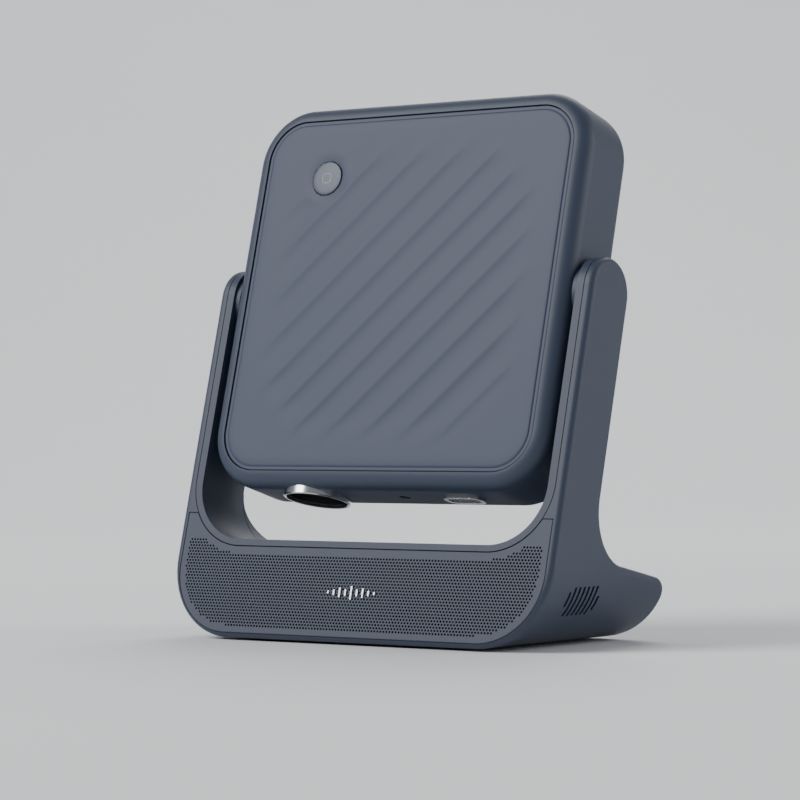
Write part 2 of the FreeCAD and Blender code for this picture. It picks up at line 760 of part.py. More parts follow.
SPEAKER_Z = "((speaker_box_bottom + speaker_box_top) / 2)"
BOX_HALF_Z = "((speaker_box_top - speaker_box_bottom) / 2)"
for side, sign in (("left", "-1"), ("right", "1")):
    centre_x = f"{sign} * speaker_spacing / 2"
    enclosure = new_body(f"speaker_box_{side}", "face", x=centre_x)
    add(enclosure, "front", centred("0", SPEAKER_Z, "speaker_box_width / 2", BOX_HALF_Z, "2"),
        "speaker_box_front", "speaker_box_front + speaker_box_depth")
    cut(enclosure, "front", centred("0", SPEAKER_Z, "(speaker_box_width / 2 - speaker_box_wall)",
                                    f"({BOX_HALF_Z} - speaker_box_wall)", "1"),
        "speaker_box_front + speaker_box_wall",
        "speaker_box_front + speaker_box_depth - speaker_box_wall")
    cut(enclosure, "front", disc("0", SPEAKER_Z, "speaker_radius - 1"),
        "speaker_box_front", "speaker_box_front + speaker_box_wall")

    driver = {"x": centre_x, "y": "speaker_box_front", "z": SPEAKER_Z}
    basket = new_body(f"speaker_basket_{side}", "face", **driver)
    turn(basket, "top", outline(
        ("speaker_radius - 2.6", "-speaker_flange"), ("speaker_radius", "-speaker_flange"),
        ("speaker_radius", "0"), ("speaker_radius - 1.1", "0"),
        ("speaker_radius - 1.1", "speaker_basket_depth"),
        ("magnet_radius - 3", "speaker_basket_depth"),
        ("magnet_radius - 3", "speaker_basket_depth - 0.8"),
        ("speaker_radius - 1.9", "speaker_basket_depth - 0.8"),
        ("speaker_radius - 1.9", "0"), ("speaker_radius - 2.6", "0")), "Y_Axis")
    cone = new_body(f"speaker_cone_{side}", "face", **driver)
    turn(cone, "top", outline(
        ("0", "2.4"), ("2.6", "1.6"), ("4", "3"), ("speaker_radius - 4", "-0.2"),
        ("speaker_radius - 3.2", "-0.9"), ("speaker_radius - 2.6", "-0.5"),
        ("speaker_radius - 2.6", "0"), ("speaker_radius - 3.2", "-0.4"),
        ("speaker_radius - 4", "0.4"), ("4", "3.6"), ("2.6", "2.2"), ("0", "3")), "Y_Axis")

magnets = new_body("speaker_magnets", "face", y="speaker_box_front", z=SPEAKER_Z)
add(magnets, "front", several(disc("-speaker_spacing / 2", "0", "magnet_radius"),
                              disc("speaker_spacing / 2", "0", "magnet_radius")),
    "speaker_basket_depth", "speaker_basket_depth + magnet_thickness")

# Amplifier board in the rear of the base, on the bottom cover's posts.
amplifier_board = new_body("amplifier_board", "stand", y=AMPLIFIER_Y, z="amplifier_height")
add(amplifier_board, "top", centred("0", "0", "amplifier_width / 2", "amplifier_depth / 2", "2"),
    "0", "board_thickness")
amplifier_parts = new_body("amplifier_parts", "stand", y=AMPLIFIER_Y,
                           z="(amplifier_height + board_thickness)")
add(amplifier_parts, "top", several(box("-30", "-22", "-13", "-5"), box("-16", "-10", "-12", "-6"),
                                    box("4", "12", "-14", "-6"), box("18", "26", "2", "12")),
    "0", "1.6")
add(amplifier_parts, "top", several(disc("-24", "8", "3.2"), disc("-14", "8", "3.2"),
                                    disc("-2", "6", "2.5"), disc("22", "-10", "2.5")), "0", "5")

# Flat cable in the right arm, from the base to just below the hinge.
arm_cable = new_body("arm_cable", "face")
add(arm_cable, "side", box("arm_depth / 2 - 4", "arm_depth / 2 + 4", "base_corner + 4",
                           "pivot_height - hinge_plate_length / 2 - 12"),
    f"{CAVITY_OUT} - 0.8", f"{CAVITY_OUT} - 0.4")

# Projector head --------------------------------------------------------------------------------

head_shell = new_body("head_shell", "head")
add(head_shell, "front", centred("0", "0", HEAD_X, HEAD_Z, "head_corner"), f"-{HEAD_Y}", HEAD_Y)


def on_front_or_back(edge):
    """An edge that lies in the head's front or back plane."""
    bounds = edge.BoundBox
    return bounds.YLength < 1e-4 and abs(abs(bounds.YMin) - value(HEAD_Y)) < 1e-4


fillet(head_shell, "head_edge", on_front_or_back)
cut(head_shell, "front", centred("0", "0", f"({HEAD_X} - head_wall)", f"({HEAD_Z} - head_wall)",
                                 "head_corner - head_wall"),
    f"-{HEAD_Y} + head_rim", f"{HEAD_Y} - head_rim")
COVER_SCREWS = [(f"{x} * ({COVER_X} - cover_screw_inset)", f"{z} * ({COVER_Z} - cover_screw_inset)")
                for x in ("-1", "1") for z in ("-1", "1")]
for near, far in (("-1", "1"), ("1", "-1")):
    face_y = f"({near} * {HEAD_Y})"
    seat_y = f"({near} * {COVER_INNER})"
    inner_y = f"({near} * ({HEAD_Y} - head_rim))"
    seat = centred("0", "0", COVER_X, COVER_Z, "cover_corner")
    through = centred("0", "0", f"({COVER_X} - ledge_width)", f"({COVER_Z} - ledge_width)",
                      "ledge_corner")
    if near == "-1":
        cut(head_shell, "front", seat, face_y, seat_y)
        cut(head_shell, "front", through, seat_y, inner_y)
    else:
        cut(head_shell, "front", through, inner_y, seat_y)
        cut(head_shell, "front", seat, seat_y, face_y)
BOSS_TOP = f"({HEAD_Y} - head_rim)"
add(head_shell, "front", several(*[disc(x, z, "screw_boss_radius") for x, z in COVER_SCREWS]),
    f"{BOSS_TOP} - screw_boss_height", BOSS_TOP)
cut(head_shell, "front", several(*[disc(x, z, "screw_radius") for x, z in COVER_SCREWS]),
    f"{BOSS_TOP} - screw_boss_height", COVER_INNER)

# Holes of the head shell: tilt shafts, lens ring, sensors and sockets.
WALL_IN_X = f"({HEAD_X} - head_wall)"
WALL_IN_Z = f"({HEAD_Z} - head_wall)"
RING_FLANGE_RADIUS = "(lens_ring_radius + lens_ring_flange)"
cut(head_shell, "side", disc("0", "0", "shaft_radius + shaft_clearance"), f"-{HEAD_X}", HEAD_X)
cut(head_shell, "top", disc("lens_x", "0", "lens_ring_radius + lens_ring_clearance"),
    f"-{HEAD_Z}", f"-{WALL_IN_Z}")
cut(head_shell, "top", disc("lens_x", "0", f"{RING_FLANGE_RADIUS} + lens_ring_clearance"),
    f"-{WALL_IN_Z} - lens_ring_seat", f"-{HEAD_Z} + baffle_depth + 0.1")
SENSOR_INNER_X = "(sensor_width / 2 - sensor_frame_wall)"
SENSOR_INNER_Y = "(sensor_height / 2 - sensor_frame_wall)"
cut(head_shell, "top", several(
    centred("sensor_x", "0", f"({SENSOR_INNER_X} + 0.1)", f"({SENSOR_INNER_Y} + 0.1)", "3.4"),
    disc("ir_x", "0", "ir_radius")), f"-{HEAD_Z}", f"-{WALL_IN_Z}")
PANEL = centred("panel_x", "0", "(panel_width / 2)", "(panel_height / 2)", "2")
cut(head_shell, "top", PANEL, f"{HEAD_Z} - panel_thickness", HEAD_Z)

SOCKETS = {
    # name: (middle x, half width, half height, corner or None)
    "dc": ("panel_x - 31", "4.2", "4.2", "4.1"),
    "hdmi": ("panel_x - 12", "7.6", "2.9", "0.8"),
    "usb": ("panel_x + 9", "6.8", "3.1", "0.5"),
    "audio": ("panel_x + 28", "3.6", "3.6", "3.5"),
}
SOCKET_Y = "(main_board_y - 4.4)"
socket_holes = several(*[centred(x, SOCKET_Y, f"({half_x} + 0.3)", f"({half_y} + 0.3)", corner)
                         for x, half_x, half_y, corner in SOCKETS.values()])
cut(head_shell, "top", socket_holes, WALL_IN_Z, f"{HEAD_Z} - panel_thickness")

port_panel = new_body("port_panel", "head")
add(port_panel, "top", centred("panel_x", "0", "(panel_width / 2 - 0.15)",
                               "(panel_height / 2 - 0.15)", "1.85"),
    f"{HEAD_Z} - panel_thickness", HEAD_Z)
cut(port_panel, "top", socket_holes, f"{HEAD_Z} - panel_thickness", HEAD_Z)

SOCKET_FACE = f"({HEAD_Z} - socket_recess)"
SOCKET_BACK = f"({SOCKET_FACE} - socket_depth)"
for name, (x, half_x, half_y, corner) in SOCKETS.items():
    socket = new_body(f"{name}_socket", "head")
    add(socket, "top", centred(x, SOCKET_Y, half_x, half_y, corner), SOCKET_BACK, SOCKET_FACE)
    add(socket, "top", box(f"{x} - {half_x} + 1", f"{x} + {half_x} - 1", SOCKET_Y,
                           "main_board_y"), SOCKET_BACK, f"{SOCKET_BACK} + 5")
    if name in ("dc", "audio"):
        bore = "2.75" if name == "dc" else "1.8"
        cut(socket, "top", disc(x, SOCKET_Y, bore), f"{SOCKET_FACE} - 9", SOCKET_FACE)
        if name == "dc":
            add(socket, "top", disc(x, SOCKET_Y, "0.8"), f"{SOCKET_FACE} - 9",
                f"{SOCKET_FACE} - 0.8")
    else:
        cut(socket, "top", centred(x, SOCKET_Y, f"({half_x} - 0.7)", f"({half_y} - 0.7)"),
            f"{SOCKET_FACE} - 9", SOCKET_FACE)
        add(socket, "top", centred(x, f"{SOCKET_Y} + 0.5", f"({half_x} - 1.9)", "0.5"),
            f"{SOCKET_FACE} - 9", f"{SOCKET_FACE} - 1")

# Front cover with its diagonal ripples, its button well and the posts of the button board.
top_cover = new_body("top_cover", "head")
COVER_OUTLINE = centred("0", "0", f"({COVER_X} - cover_gap)", f"({COVER_Z} - cover_gap)",
                        "cover_corner - cover_gap")
BUTTON_BOARD_Y = f"(-{COVER_INNER} + 5.6)"
BUTTON_POSTS = [(f"button_x + {x} * 11", "button_z") for x in ("-1", "1")]
add(top_cover, "front", COVER_OUTLINE, f"-{HEAD_Y}", f"-{COVER_INNER}")
add(top_cover, "front", several(*[disc(x, z, "post_radius") for x, z in BUTTON_POSTS]),
    f"-{COVER_INNER}", BUTTON_BOARD_Y)
cut(top_cover, "front", disc("button_x", "button_z", "button_dish_radius"), f"-{HEAD_Y}",
    f"-{HEAD_Y} + button_dish_depth")
cut(top_cover, "front", disc("button_x", "button_z", "button_radius + button_gap"),
    f"-{HEAD_Y} + button_dish_depth", f"-{COVER_INNER}")
RIPPLE_LINES = (-5, -4, -3, -2, -1, 0, 1, 2, 3, 4)
for line in RIPPLE_LINES:
    shift = f"(ripple_pitch * {line + 0.5})"
    reach = f"(ripple_field * sqrt(2) - abs({shift}))"
    ripple = top_cover.newObject("PartDesign::SubtractiveEllipsoid", "ripple")
    ripple.AttachmentSupport = [(origin_feature(top_cover, "XZ_Plane"), "")]
    ripple.MapMode = "FlatFace"
    ripple.AttachmentOffset = FreeCAD.Placement(
        Vector(0, 0, 1), FreeCAD.Rotation(Vector(0, 0, 1), 45))
    ripple.setExpression("AttachmentOffset.Base.x", bound(f"-{shift} / sqrt(2)"))
    ripple.setExpression("AttachmentOffset.Base.y", bound(f"{shift} / sqrt(2)"))
    ripple.setExpression("AttachmentOffset.Base.z", bound(HEAD_Y))
    ripple.setExpression("Radius1", bound("ripple_depth"))
    ripple.setExpression("Radius2", bound(reach))
    ripple.setExpression("Radius3", bound("ripple_pitch * 0.48"))
    doc.recompute()

rear_cover = new_body("rear_cover", "head")
add(rear_cover, "front", COVER_OUTLINE, COVER_INNER, HEAD_Y)
BOARD_POSTS = [(f"{x}", f"{z}") for x in ("main_board_left + post_inset",
                                          "main_board_right - post_inset")
               for z in ("main_board_bottom + post_inset", "main_board_top - post_inset - 14")]
add(rear_cover, "front", several(*[disc(x, z, "post_radius") for x, z in BOARD_POSTS]),
    "main_board_y + board_thickness", COVER_INNER)
for row_z, count in (("fan_z", "fan_vent_count"), ("sink_vent_z", "sink_vent_count")):
    slats = int(value(count))
    vents = [centred("fan_x", f"{row_z} + {index - slats // 2} * vent_pitch",
                     "fan_size / 2 - 6", "vent_width / 2", "vent_width / 2 - 0.02")
             for index in range(slats)]
    cut(rear_cover, "front", several(*vents), COVER_INNER, HEAD_Y)
cut(rear_cover, "front", several(*[disc(x, z, "screw_radius + 0.1") for x, z in COVER_SCREWS]),
    COVER_INNER, f"{HEAD_Y} - screw_head_height")
cut(rear_cover, "front", several(*[disc(x, z, "screw_head_radius + 0.1")
                                   for x, z in COVER_SCREWS]),
    f"{HEAD_Y} - screw_head_height", HEAD_Y)
screws("rear_screws", "head", "front", COVER_SCREWS, HEAD_Y, f"{BOSS_TOP} - 3", inward=False)

# Power button, held behind the cover by its flange; it travels into the head.
power_button = new_body("power_button", "head", x="button_x", y=f"-{HEAD_Y}", z="button_z")
BUTTON_BACK = "(cover_thickness + 0.05)"
add(power_button, "front", disc("0", "0", "button_radius"), "0", BUTTON_BACK)
add(power_button, "front", disc("0", "0", "button_radius + button_flange"), BUTTON_BACK,
    f"{BUTTON_BACK} + 0.8")
add(power_button, "front", disc("0", "0", "2"), f"{BUTTON_BACK} + 0.8", f"{BUTTON_BACK} + 1.6")
button_board = new_body("button_board", "head")
add(button_board, "front", centred("button_x", "button_z", "14", "8", "1.5"), BUTTON_BOARD_Y,
    f"{BUTTON_BOARD_Y} + board_thickness")
SWITCH_TIP = f"(-{COVER_INNER} + 1.65 + button_travel + switch_gap)"
button_switch = new_body("button_switch", "head")
add(button_switch, "front", centred("button_x", "button_z", "3", "3", "0.4"),
    f"{SWITCH_TIP} + 0.6", BUTTON_BOARD_Y)
add(button_switch, "front", disc("button_x", "button_z", "1.6"), SWITCH_TIP,
    f"{SWITCH_TIP} + 0.6")

# Lens: silver ring, black stepped baffle, and the cell that moves to focus ----------------------

LENS = {"x": "lens_x", "z": f"-{HEAD_Z}"}
RING_INNER = "(lens_ring_radius - lens_ring_wall)"
RING_SEAT = "(head_wall - lens_ring_seat)"
lens_ring = new_body("lens_ring", "head", **LENS)
turn(lens_ring, "front", outline(
    (RING_INNER, "-lens_ring_projection + 0.3"), (f"{RING_INNER} + 0.3", "-lens_ring_projection"),
    ("lens_ring_radius - 0.4", "-lens_ring_projection"),
    ("lens_ring_radius", "-lens_ring_projection + 0.4"), ("lens_ring_radius", RING_SEAT),
    (RING_FLANGE_RADIUS, RING_SEAT), (RING_FLANGE_RADIUS, "head_wall + 1.2"),
    (RING_INNER, "head_wall + 1.2")), "Z_Axis")

lens_baffle = new_body("lens_baffle", "head", **LENS)
steps = int(value("baffle_steps"))
inner = []
for index in range(steps):
    share, depth = index / steps, (index + 1) / steps
    radius = f"(baffle_front_radius - {share} * (baffle_front_radius - baffle_rear_radius))"
    inner.append((radius, f"-0.8 + {share} * baffle_depth"))
    inner.append((radius, f"-0.8 + {depth} * baffle_depth"))
BAFFLE_OUTER = f"({RING_INNER} - 0.1)"
turn(lens_baffle, "front", outline(
    *inner, ("baffle_rear_radius", "baffle_depth"), (RING_FLANGE_RADIUS, "baffle_depth"),
    (RING_FLANGE_RADIUS, "head_wall + 1.2"), (BAFFLE_OUTER, "head_wall + 1.2"),
    (BAFFLE_OUTER, "-0.8")), "Z_Axis")

CELL_INNER = "front_lens_radius"
CELL_OUTER = "(front_lens_radius + cell_wall)"
CELL_END = "(cell_start + cell_length)"
lens_cell = new_body("lens_cell", "head", **LENS)
add(lens_cell, "top", several(disc("0", "0", CELL_OUTER), disc("0", "0", CELL_INNER)),
    "cell_start", CELL_END)
ARM_START = "(cell_start + 7)"
NUT_RADIUS = "(focus_screw_radius + 1.8)"
add(lens_cell, "top", outline(
    (f"{CELL_INNER} + 0.6", "-1.5"), (f"focus_screw_offset - {NUT_RADIUS} + 0.6", "-1.5"),
    (f"focus_screw_offset - {NUT_RADIUS} + 0.6", "1.5"), (f"{CELL_INNER} + 0.6", "1.5")),
    ARM_START, f"{ARM_START} + 3")
add(lens_cell, "top", disc("focus_screw_offset", "0", NUT_RADIUS), ARM_START, f"{ARM_START} + 3")
cut(lens_cell, "top", disc("focus_screw_offset", "0", "focus_screw_radius + 0.1"), ARM_START,
    f"{ARM_START} + 3")

LENS_EDGE = f"({CELL_INNER} - 0.02)"
front_lens = new_body("front_lens", "head", **LENS)
turn(front_lens, "front", outline(
    ("0", "cell_start - 1"), ("2.6", "cell_start - 0.86"), ("5.2", "cell_start - 0.34"),
    (LENS_EDGE, "cell_start + 0.5"), (LENS_EDGE, "cell_start + 2.6"), ("0", "cell_start + 2.6")),
    "Z_Axis")
rear_lens = new_body("rear_lens", "head", **LENS)
turn(rear_lens, "front", outline(
    ("0", f"{CELL_END} - 4.4"), (LENS_EDGE, f"{CELL_END} - 3"), (LENS_EDGE, f"{CELL_END} - 1.4"),
    ("0", f"{CELL_END} - 0.4")), "Z_Axis")

focus_screw = new_body("focus_screw", "head", x="lens_x + focus_screw_offset", z=f"-{HEAD_Z}")
add(focus_screw, "top", disc("0", "0", "focus_screw_radius"), f"{ARM_START} - 3",
    f"{ARM_START} + 6")
focus_motor = new_body("focus_motor", "head", x="lens_x + focus_screw_offset", z=f"-{HEAD_Z}")
add(focus_motor, "top", disc("0", "0", "focus_motor_radius"), f"{ARM_START} + 6.2",
    f"{ARM_START} + 6.2 + focus_motor_length")

# Light engine: a guide tube round the lens cell and the optics' housing behind it.
TUBE_INNER = f"({CELL_OUTER} + cell_clearance)"
light_engine = new_body("light_engine", "head", **LENS)
ENGINE_END = "(engine_start + 12 + engine_length)"
add(light_engine, "top", centred("0", "0", "engine_width / 2", "engine_thickness / 2", "2"),
    f"{CELL_END} + 2", ENGINE_END)
add(light_engine, "top", disc("0", "0", f"{TUBE_INNER} + tube_wall"), "cell_start + 1",
    f"{CELL_END} + 2")
cut(light_engine, "top", disc("0", "0", TUBE_INNER), "cell_start + 1", f"{CELL_END} + 2")
cut(light_engine, "top", box("0", f"{TUBE_INNER} + tube_wall + 2", "-2", "2"), "cell_start + 1",
    f"{ARM_START} + 3 + 2")
add(light_engine, "top", box("focus_screw_offset - 3", "focus_screw_offset + 3",
                             "-focus_motor_radius", "focus_motor_radius"),
    f"{ARM_START} + 6.2 + focus_motor_length", f"{CELL_END} + 2.5")
add(light_engine, "front", several(
    centred("-engine_width / 2 + 6", f"({CELL_END} + 8)", "3", "3"),
    centred("engine_width / 2 - 6", f"({ENGINE_END} - 8)", "3", "3")),
    "engine_thickness / 2", COVER_INNER)

led_modules = new_body("led_modules", "head", **LENS)
LED_HEIGHTS = [f"({CELL_END} + 10 + {index} * (led_size + 3))" for index in range(3)]
add(led_modules, "side", several(*[centred("0", z, "led_size / 2", "led_size / 2", "1")
                                   for z in LED_HEIGHTS]),
    "-engine_width / 2 - led_thickness", "-engine_width / 2")
heat_sink = new_body("heat_sink", "head", **LENS)
SINK_X = "(-engine_width / 2 - led_thickness)"
SINK_LOW = f"({CELL_END} + 2)"
SINK_HIGH = f"({CELL_END} + 34)"
add(heat_sink, "side", box("-12", "12", SINK_LOW, SINK_HIGH), f"{SINK_X} - sink_base", SINK_X)
FIN_SPAN = "(fin_pitch * (fin_count - 1) / 2)"
fins = [box(f"{index} * fin_pitch - {FIN_SPAN} - fin_thickness / 2",
            f"{index} * fin_pitch - {FIN_SPAN} + fin_thickness / 2", SINK_LOW, SINK_HIGH)
        for index in range(int(value("fin_count")))]
add(heat_sink, "side", several(*fins), f"{SINK_X} - sink_base - sink_reach",
    f"{SINK_X} - sink_base")

# Fan that blows out through the rear cover's vents.
FAN_FRONT = f"({COVER_INNER} - fan_thickness)"
fan_frame = new_body("fan_frame", "head", x="fan_x", y=FAN_FRONT, z="fan_z")
add(fan_frame, "front", several(centred("0", "0", "fan_size / 2", "fan_size / 2", "3"),
                                disc("0", "0", "fan_bore")), "0", "fan_thickness")
add(fan_frame, "front", several(box("-fan_bore - 0.5", "fan_bore + 0.5", "-1", "1")),
    "0", "1.2")
add(fan_frame, "front", disc("0", "0", "fan_hub"), "0", "1.2")
add(fan_frame, "front", disc("0", "0", "1.5"), "1.2", "9")
fan_rotor = new_body("fan_rotor", "head", x="fan_x", y=FAN_FRONT, z="fan_z")
add(fan_rotor, "front", disc("0", "0", "fan_hub"), "2", "11")
cut(fan_rotor, "front", disc("0", "0", "1.5 + 0.1"), "2", "9.4")
blade = add(fan_rotor, "top", outline(
    ("fan_hub - 0.8", "3"), ("fan_bore - blade_gap", "3"), ("fan_bore - blade_gap", "9.8"),
    ("fan_hub - 0.8", "9.8")), "-0.6", "0.6")
repeat(fan_rotor, blade, "Y_Axis", "blade_count")

# Main board, its shield and the sensors' board.
main_board = new_body("main_board", "head")
add(main_board, "front", box("main_board_left", "main_board_right", "main_board_bottom",
                             "main_board_top", "2"),
    "main_board_y", "main_board_y + board_thickness")
board_shield = new_body("board_shield", "head")
add(board_shield, "front", centred("28", "14", "24", "20", "1.5"), "main_board_y - 3.4",
    "main_board_y")
board_parts = new_body("board_parts", "head")
add(board_parts, "front", several(box("2", "14", "46", "56"), box("22", "30", "44", "54"),
                                  box("40", "52", "46", "58"), box("10", "24", "-22", "-12"),
                                  box("34", "42", "-24", "-14")), "main_board_y - 1.8",
    "main_board_y")
add(board_parts, "front", several(disc("60", "50", "3"), disc("62", "-14", "3")),
    "main_board_y - 6", "main_board_y")

SENSOR = {"x": "sensor_x", "z": f"-{HEAD_Z}"}
sensor_frame = new_body("sensor_frame", "head", **SENSOR)
inner_window = centred("0", "0", f"({SENSOR_INNER_X} - 0.6)", f"({SENSOR_INNER_Y} - 0.6)", "2.7")
add(sensor_frame, "top", several(
    centred("0", "0", "(sensor_width / 2)", "(sensor_height / 2)", "4.4"), inner_window),
    "-sensor_projection", "0")
add(sensor_frame, "top", several(
    centred("0", "0", SENSOR_INNER_X, SENSOR_INNER_Y, "3.3"), inner_window), "0", "head_wall")
sensor_glass = new_body("sensor_glass", "head", **SENSOR)
add(sensor_glass, "top", centred("0", "0", f"({SENSOR_INNER_X} - 0.62)",
                                 f"({SENSOR_INNER_Y} - 0.62)", "2.66"),
    "-sensor_projection + 0.3", "-sensor_projection + 1.3")
sensor_camera = new_body("sensor_camera", "head", **SENSOR)
add(sensor_camera, "top", several(disc("-3", "0", "2"), centred("3", "0", "1.8", "1.4")),
    "1", "head_wall + 0.2")
add(sensor_camera, "top", centred("0", "0", "7", "3.6"), "head_wall + 0.2", "head_wall + 4")
ir_window = new_body("ir_window", "head", x="ir_x", z=f"-{HEAD_Z}")
add(ir_window, "top", disc("0", "0", "ir_radius - 0.05"), "0.4", "head_wall")
add(ir_window, "top", disc("0", "0", "ir_radius + 1"), "head_wall", "head_wall + 4")
sensor_board = new_body("sensor_board", "head")
add(sensor_board, "top", box("ir_x - 6", "sensor_x + 14", "-7", "7", "1"),
    f"-{HEAD_Z} + head_wall + 4", f"-{HEAD_Z} + head_wall + 4 + board_thickness")

# Tilt hinge: on each side a shaft bolted in the head turns in a steel plate in the arm ---------

PLATE_IN = CAVITY_IN
PLATE_OUT = f"({CAVITY_IN} + hinge_plate_thickness)"
SPRING_OUT = f"({PLATE_OUT} + hinge_play + spring_thickness)"
NUT_OUT = f"({SPRING_OUT} + nut_thickness)"
BRACKET_IN = f"({WALL_IN_X} - bracket_thickness)"


def both_ways(side, near, far):
    """An interval along X on the right side, mirrored on the left."""
    return (near, far) if side == "right" else (f"-{far}", f"-{near}")


for side in ("left", "right"):
    plate = new_body(f"hinge_plate_{side}", "face")
    add(plate, "side", box("arm_depth / 2 - hinge_plate_width / 2",
                           "arm_depth / 2 + hinge_plate_width / 2",
                           "pivot_height - hinge_plate_length + 9", "pivot_height + 9", "3"),
        *both_ways(side, PLATE_IN, PLATE_OUT))
    cut(plate, "side", disc(PIVOT_DEPTH, "pivot_height", "shaft_radius + shaft_clearance"),
        *both_ways(side, PLATE_IN, PLATE_OUT))
    collar = new_body(f"pivot_collar_{side}", "head")
    add(collar, "side", several(disc("0", "0", "collar_radius"),
                                disc("0", "0", "shaft_radius + shaft_clearance")),
        *both_ways(side, HEAD_X, f"({ARM_INNER} - collar_clearance)"))
    shaft = new_body(f"hinge_shaft_{side}", "head")
    add(shaft, "side", disc("0", "0", "shaft_flange_radius"),
        *both_ways(side, f"({BRACKET_IN} - bracket_thickness)", BRACKET_IN))
    add(shaft, "side", disc("0", "0", "shaft_radius"), *both_ways(side, BRACKET_IN, NUT_OUT))
    if side == "right":
        cut(shaft, "side", disc("0", "0", "shaft_radius / 2"),
            f"{BRACKET_IN} - bracket_thickness", NUT_OUT)
    bracket = new_body(f"hinge_bracket_{side}", "head")
    add(bracket, "side", several(
        centred("0", "0", "bracket_width / 2", "bracket_height / 2", "2"),
        disc("0", "0", "shaft_radius + shaft_clearance")),
        *both_ways(side, BRACKET_IN, WALL_IN_X))

disc_springs = new_body("disc_springs", "head")
hinge_nuts = new_body("hinge_nuts", "head")
SHAFT_HOLE = disc("0", "0", "shaft_radius + 0.02")
ACROSS = "(nut_width / 2)"
POINT = "(nut_width / sqrt(3))"
HEXAGON = outline((ACROSS, f"{POINT} / 2"), ("0", POINT), (f"-{ACROSS}", f"{POINT} / 2"),
                  (f"-{ACROSS}", f"-{POINT} / 2"), ("0", f"-{POINT}"), (ACROSS, f"-{POINT} / 2"))
for side in ("left", "right"):
    add(disc_springs, "side", several(disc("0", "0", "spring_radius"), SHAFT_HOLE),
        *both_ways(side, f"({PLATE_OUT} + hinge_play)", SPRING_OUT))
    add(hinge_nuts, "side", several(HEXAGON, SHAFT_HOLE), *both_ways(side, SPRING_OUT, NUT_OUT))

# Check and write ---------------------------------------------------------------------------------

TOOLS = {"stand_block", "opening_tool", "liner_seat_band", "liner_seat_slab", "liner_space_band",
         "liner_space_slab", "arm_cavity", "hinge_bore", "cavity_side", "cavity_front",
         "grille_recess", "grille_opening", "grille_blank", "side_slots", "slot_keep",
         "bottom_recess"}
PARTS = [item for item in doc.Objects
         if (item.TypeId == "PartDesign::Body" and item.Label not in TOOLS)
         or item in (stand_shell, stand_liner, grille)]

doc.recompute()
failed = [item.Label for item in doc.Objects
          if "Invalid" in item.State or "Error" in item.State]
if failed:
    raise RuntimeError(f"these objects failed: {failed}")
os.makedirs("parts", exist_ok=True)
for item in PARTS:
    if item.Shape.isNull() or not item.Shape.isValid() or not item.Shape.Solids:
        raise RuntimeError(f"{item.Label} has no valid solid")
for item in PARTS:
    item.Shape.exportStep(f"parts/{item.Label}.step")
print(f"{len(PARTS)} sub-parts written")
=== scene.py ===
"""Finishes and fine meshes of a home projector that hangs in a leaning speaker stand.

Run as a script. Everything is in metres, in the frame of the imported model: +X right, +Y back,
+Z up. The CAD nodes keep their shape and get a finish. The pieces made here are the rippled
front cover, the button cap and its mark, the fine speaker panel, the badge, the front lens and
the rubber feet.
"""

import json
import math

import bmesh
import bpy
from bpy.props import FloatProperty, FloatVectorProperty, IntProperty, PointerProperty
from mathutils import Matrix, Vector


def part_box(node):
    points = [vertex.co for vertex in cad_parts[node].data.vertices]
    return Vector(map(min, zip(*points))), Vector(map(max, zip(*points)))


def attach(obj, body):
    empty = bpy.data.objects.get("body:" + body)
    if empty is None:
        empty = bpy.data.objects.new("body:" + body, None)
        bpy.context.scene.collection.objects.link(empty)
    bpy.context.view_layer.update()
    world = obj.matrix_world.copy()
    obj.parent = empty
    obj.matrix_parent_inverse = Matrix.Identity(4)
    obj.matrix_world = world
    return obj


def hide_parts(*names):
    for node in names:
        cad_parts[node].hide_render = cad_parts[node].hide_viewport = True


bl_info = {
    "name": "Home projector finishes",
    "version": (1, 0, 0),
    "blender": (4, 5, 0),
    "location": "View3D > Sidebar > Projector",
    "description": "Rippled cover, speaker grille and finishes of a home projector",
    "category": "Object",
}

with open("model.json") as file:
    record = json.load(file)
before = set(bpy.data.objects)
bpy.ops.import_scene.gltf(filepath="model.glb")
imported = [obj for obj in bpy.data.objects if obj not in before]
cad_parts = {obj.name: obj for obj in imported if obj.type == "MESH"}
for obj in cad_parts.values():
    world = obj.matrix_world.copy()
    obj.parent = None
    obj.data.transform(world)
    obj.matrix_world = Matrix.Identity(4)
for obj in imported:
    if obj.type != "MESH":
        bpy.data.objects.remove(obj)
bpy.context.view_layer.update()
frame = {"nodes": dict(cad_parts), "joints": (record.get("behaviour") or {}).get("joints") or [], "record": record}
MM = 0.001

# Directions and places read from the frame ----------------------------------------------------

JOINTS = {joint["name"]: joint for joint in frame["joints"]}
PIVOT = Vector(JOINTS["tilt_hinge"]["pos_m"])
ACROSS = Vector((1, 0, 0))
INTO = Vector(JOINTS["button_press"]["axis"]).normalized()
UP = ACROSS.cross(INTO).normalized()


def head_matrix():
    """From head axes (X across, Y into the face, Z up it, from the tilt axis) to the row frame."""
    matrix = Matrix((ACROSS, INTO, UP)).transposed().to_4x4()
    matrix.translation = PIVOT
    return matrix


def to_head(point):
    """A point of the row frame in head axes."""
    return head_matrix().inverted() @ Vector(point)


def head_span(node):
    """Lowest and highest corner of a CAD node in head axes."""
    points = [to_head(vertex.co) for vertex in frame["nodes"][node].data.vertices]
    low = Vector(min(point[axis] for point in points) for axis in range(3))
    high = Vector(max(point[axis] for point in points) for axis in range(3))
    return low, high


# Settings -------------------------------------------------------------------------------------

def length(name, description, default):
    """A length property in metres, from millimetres."""
    return FloatProperty(name=name, description=description, default=default * MM,
                         subtype="DISTANCE", unit="LENGTH", precision=5)


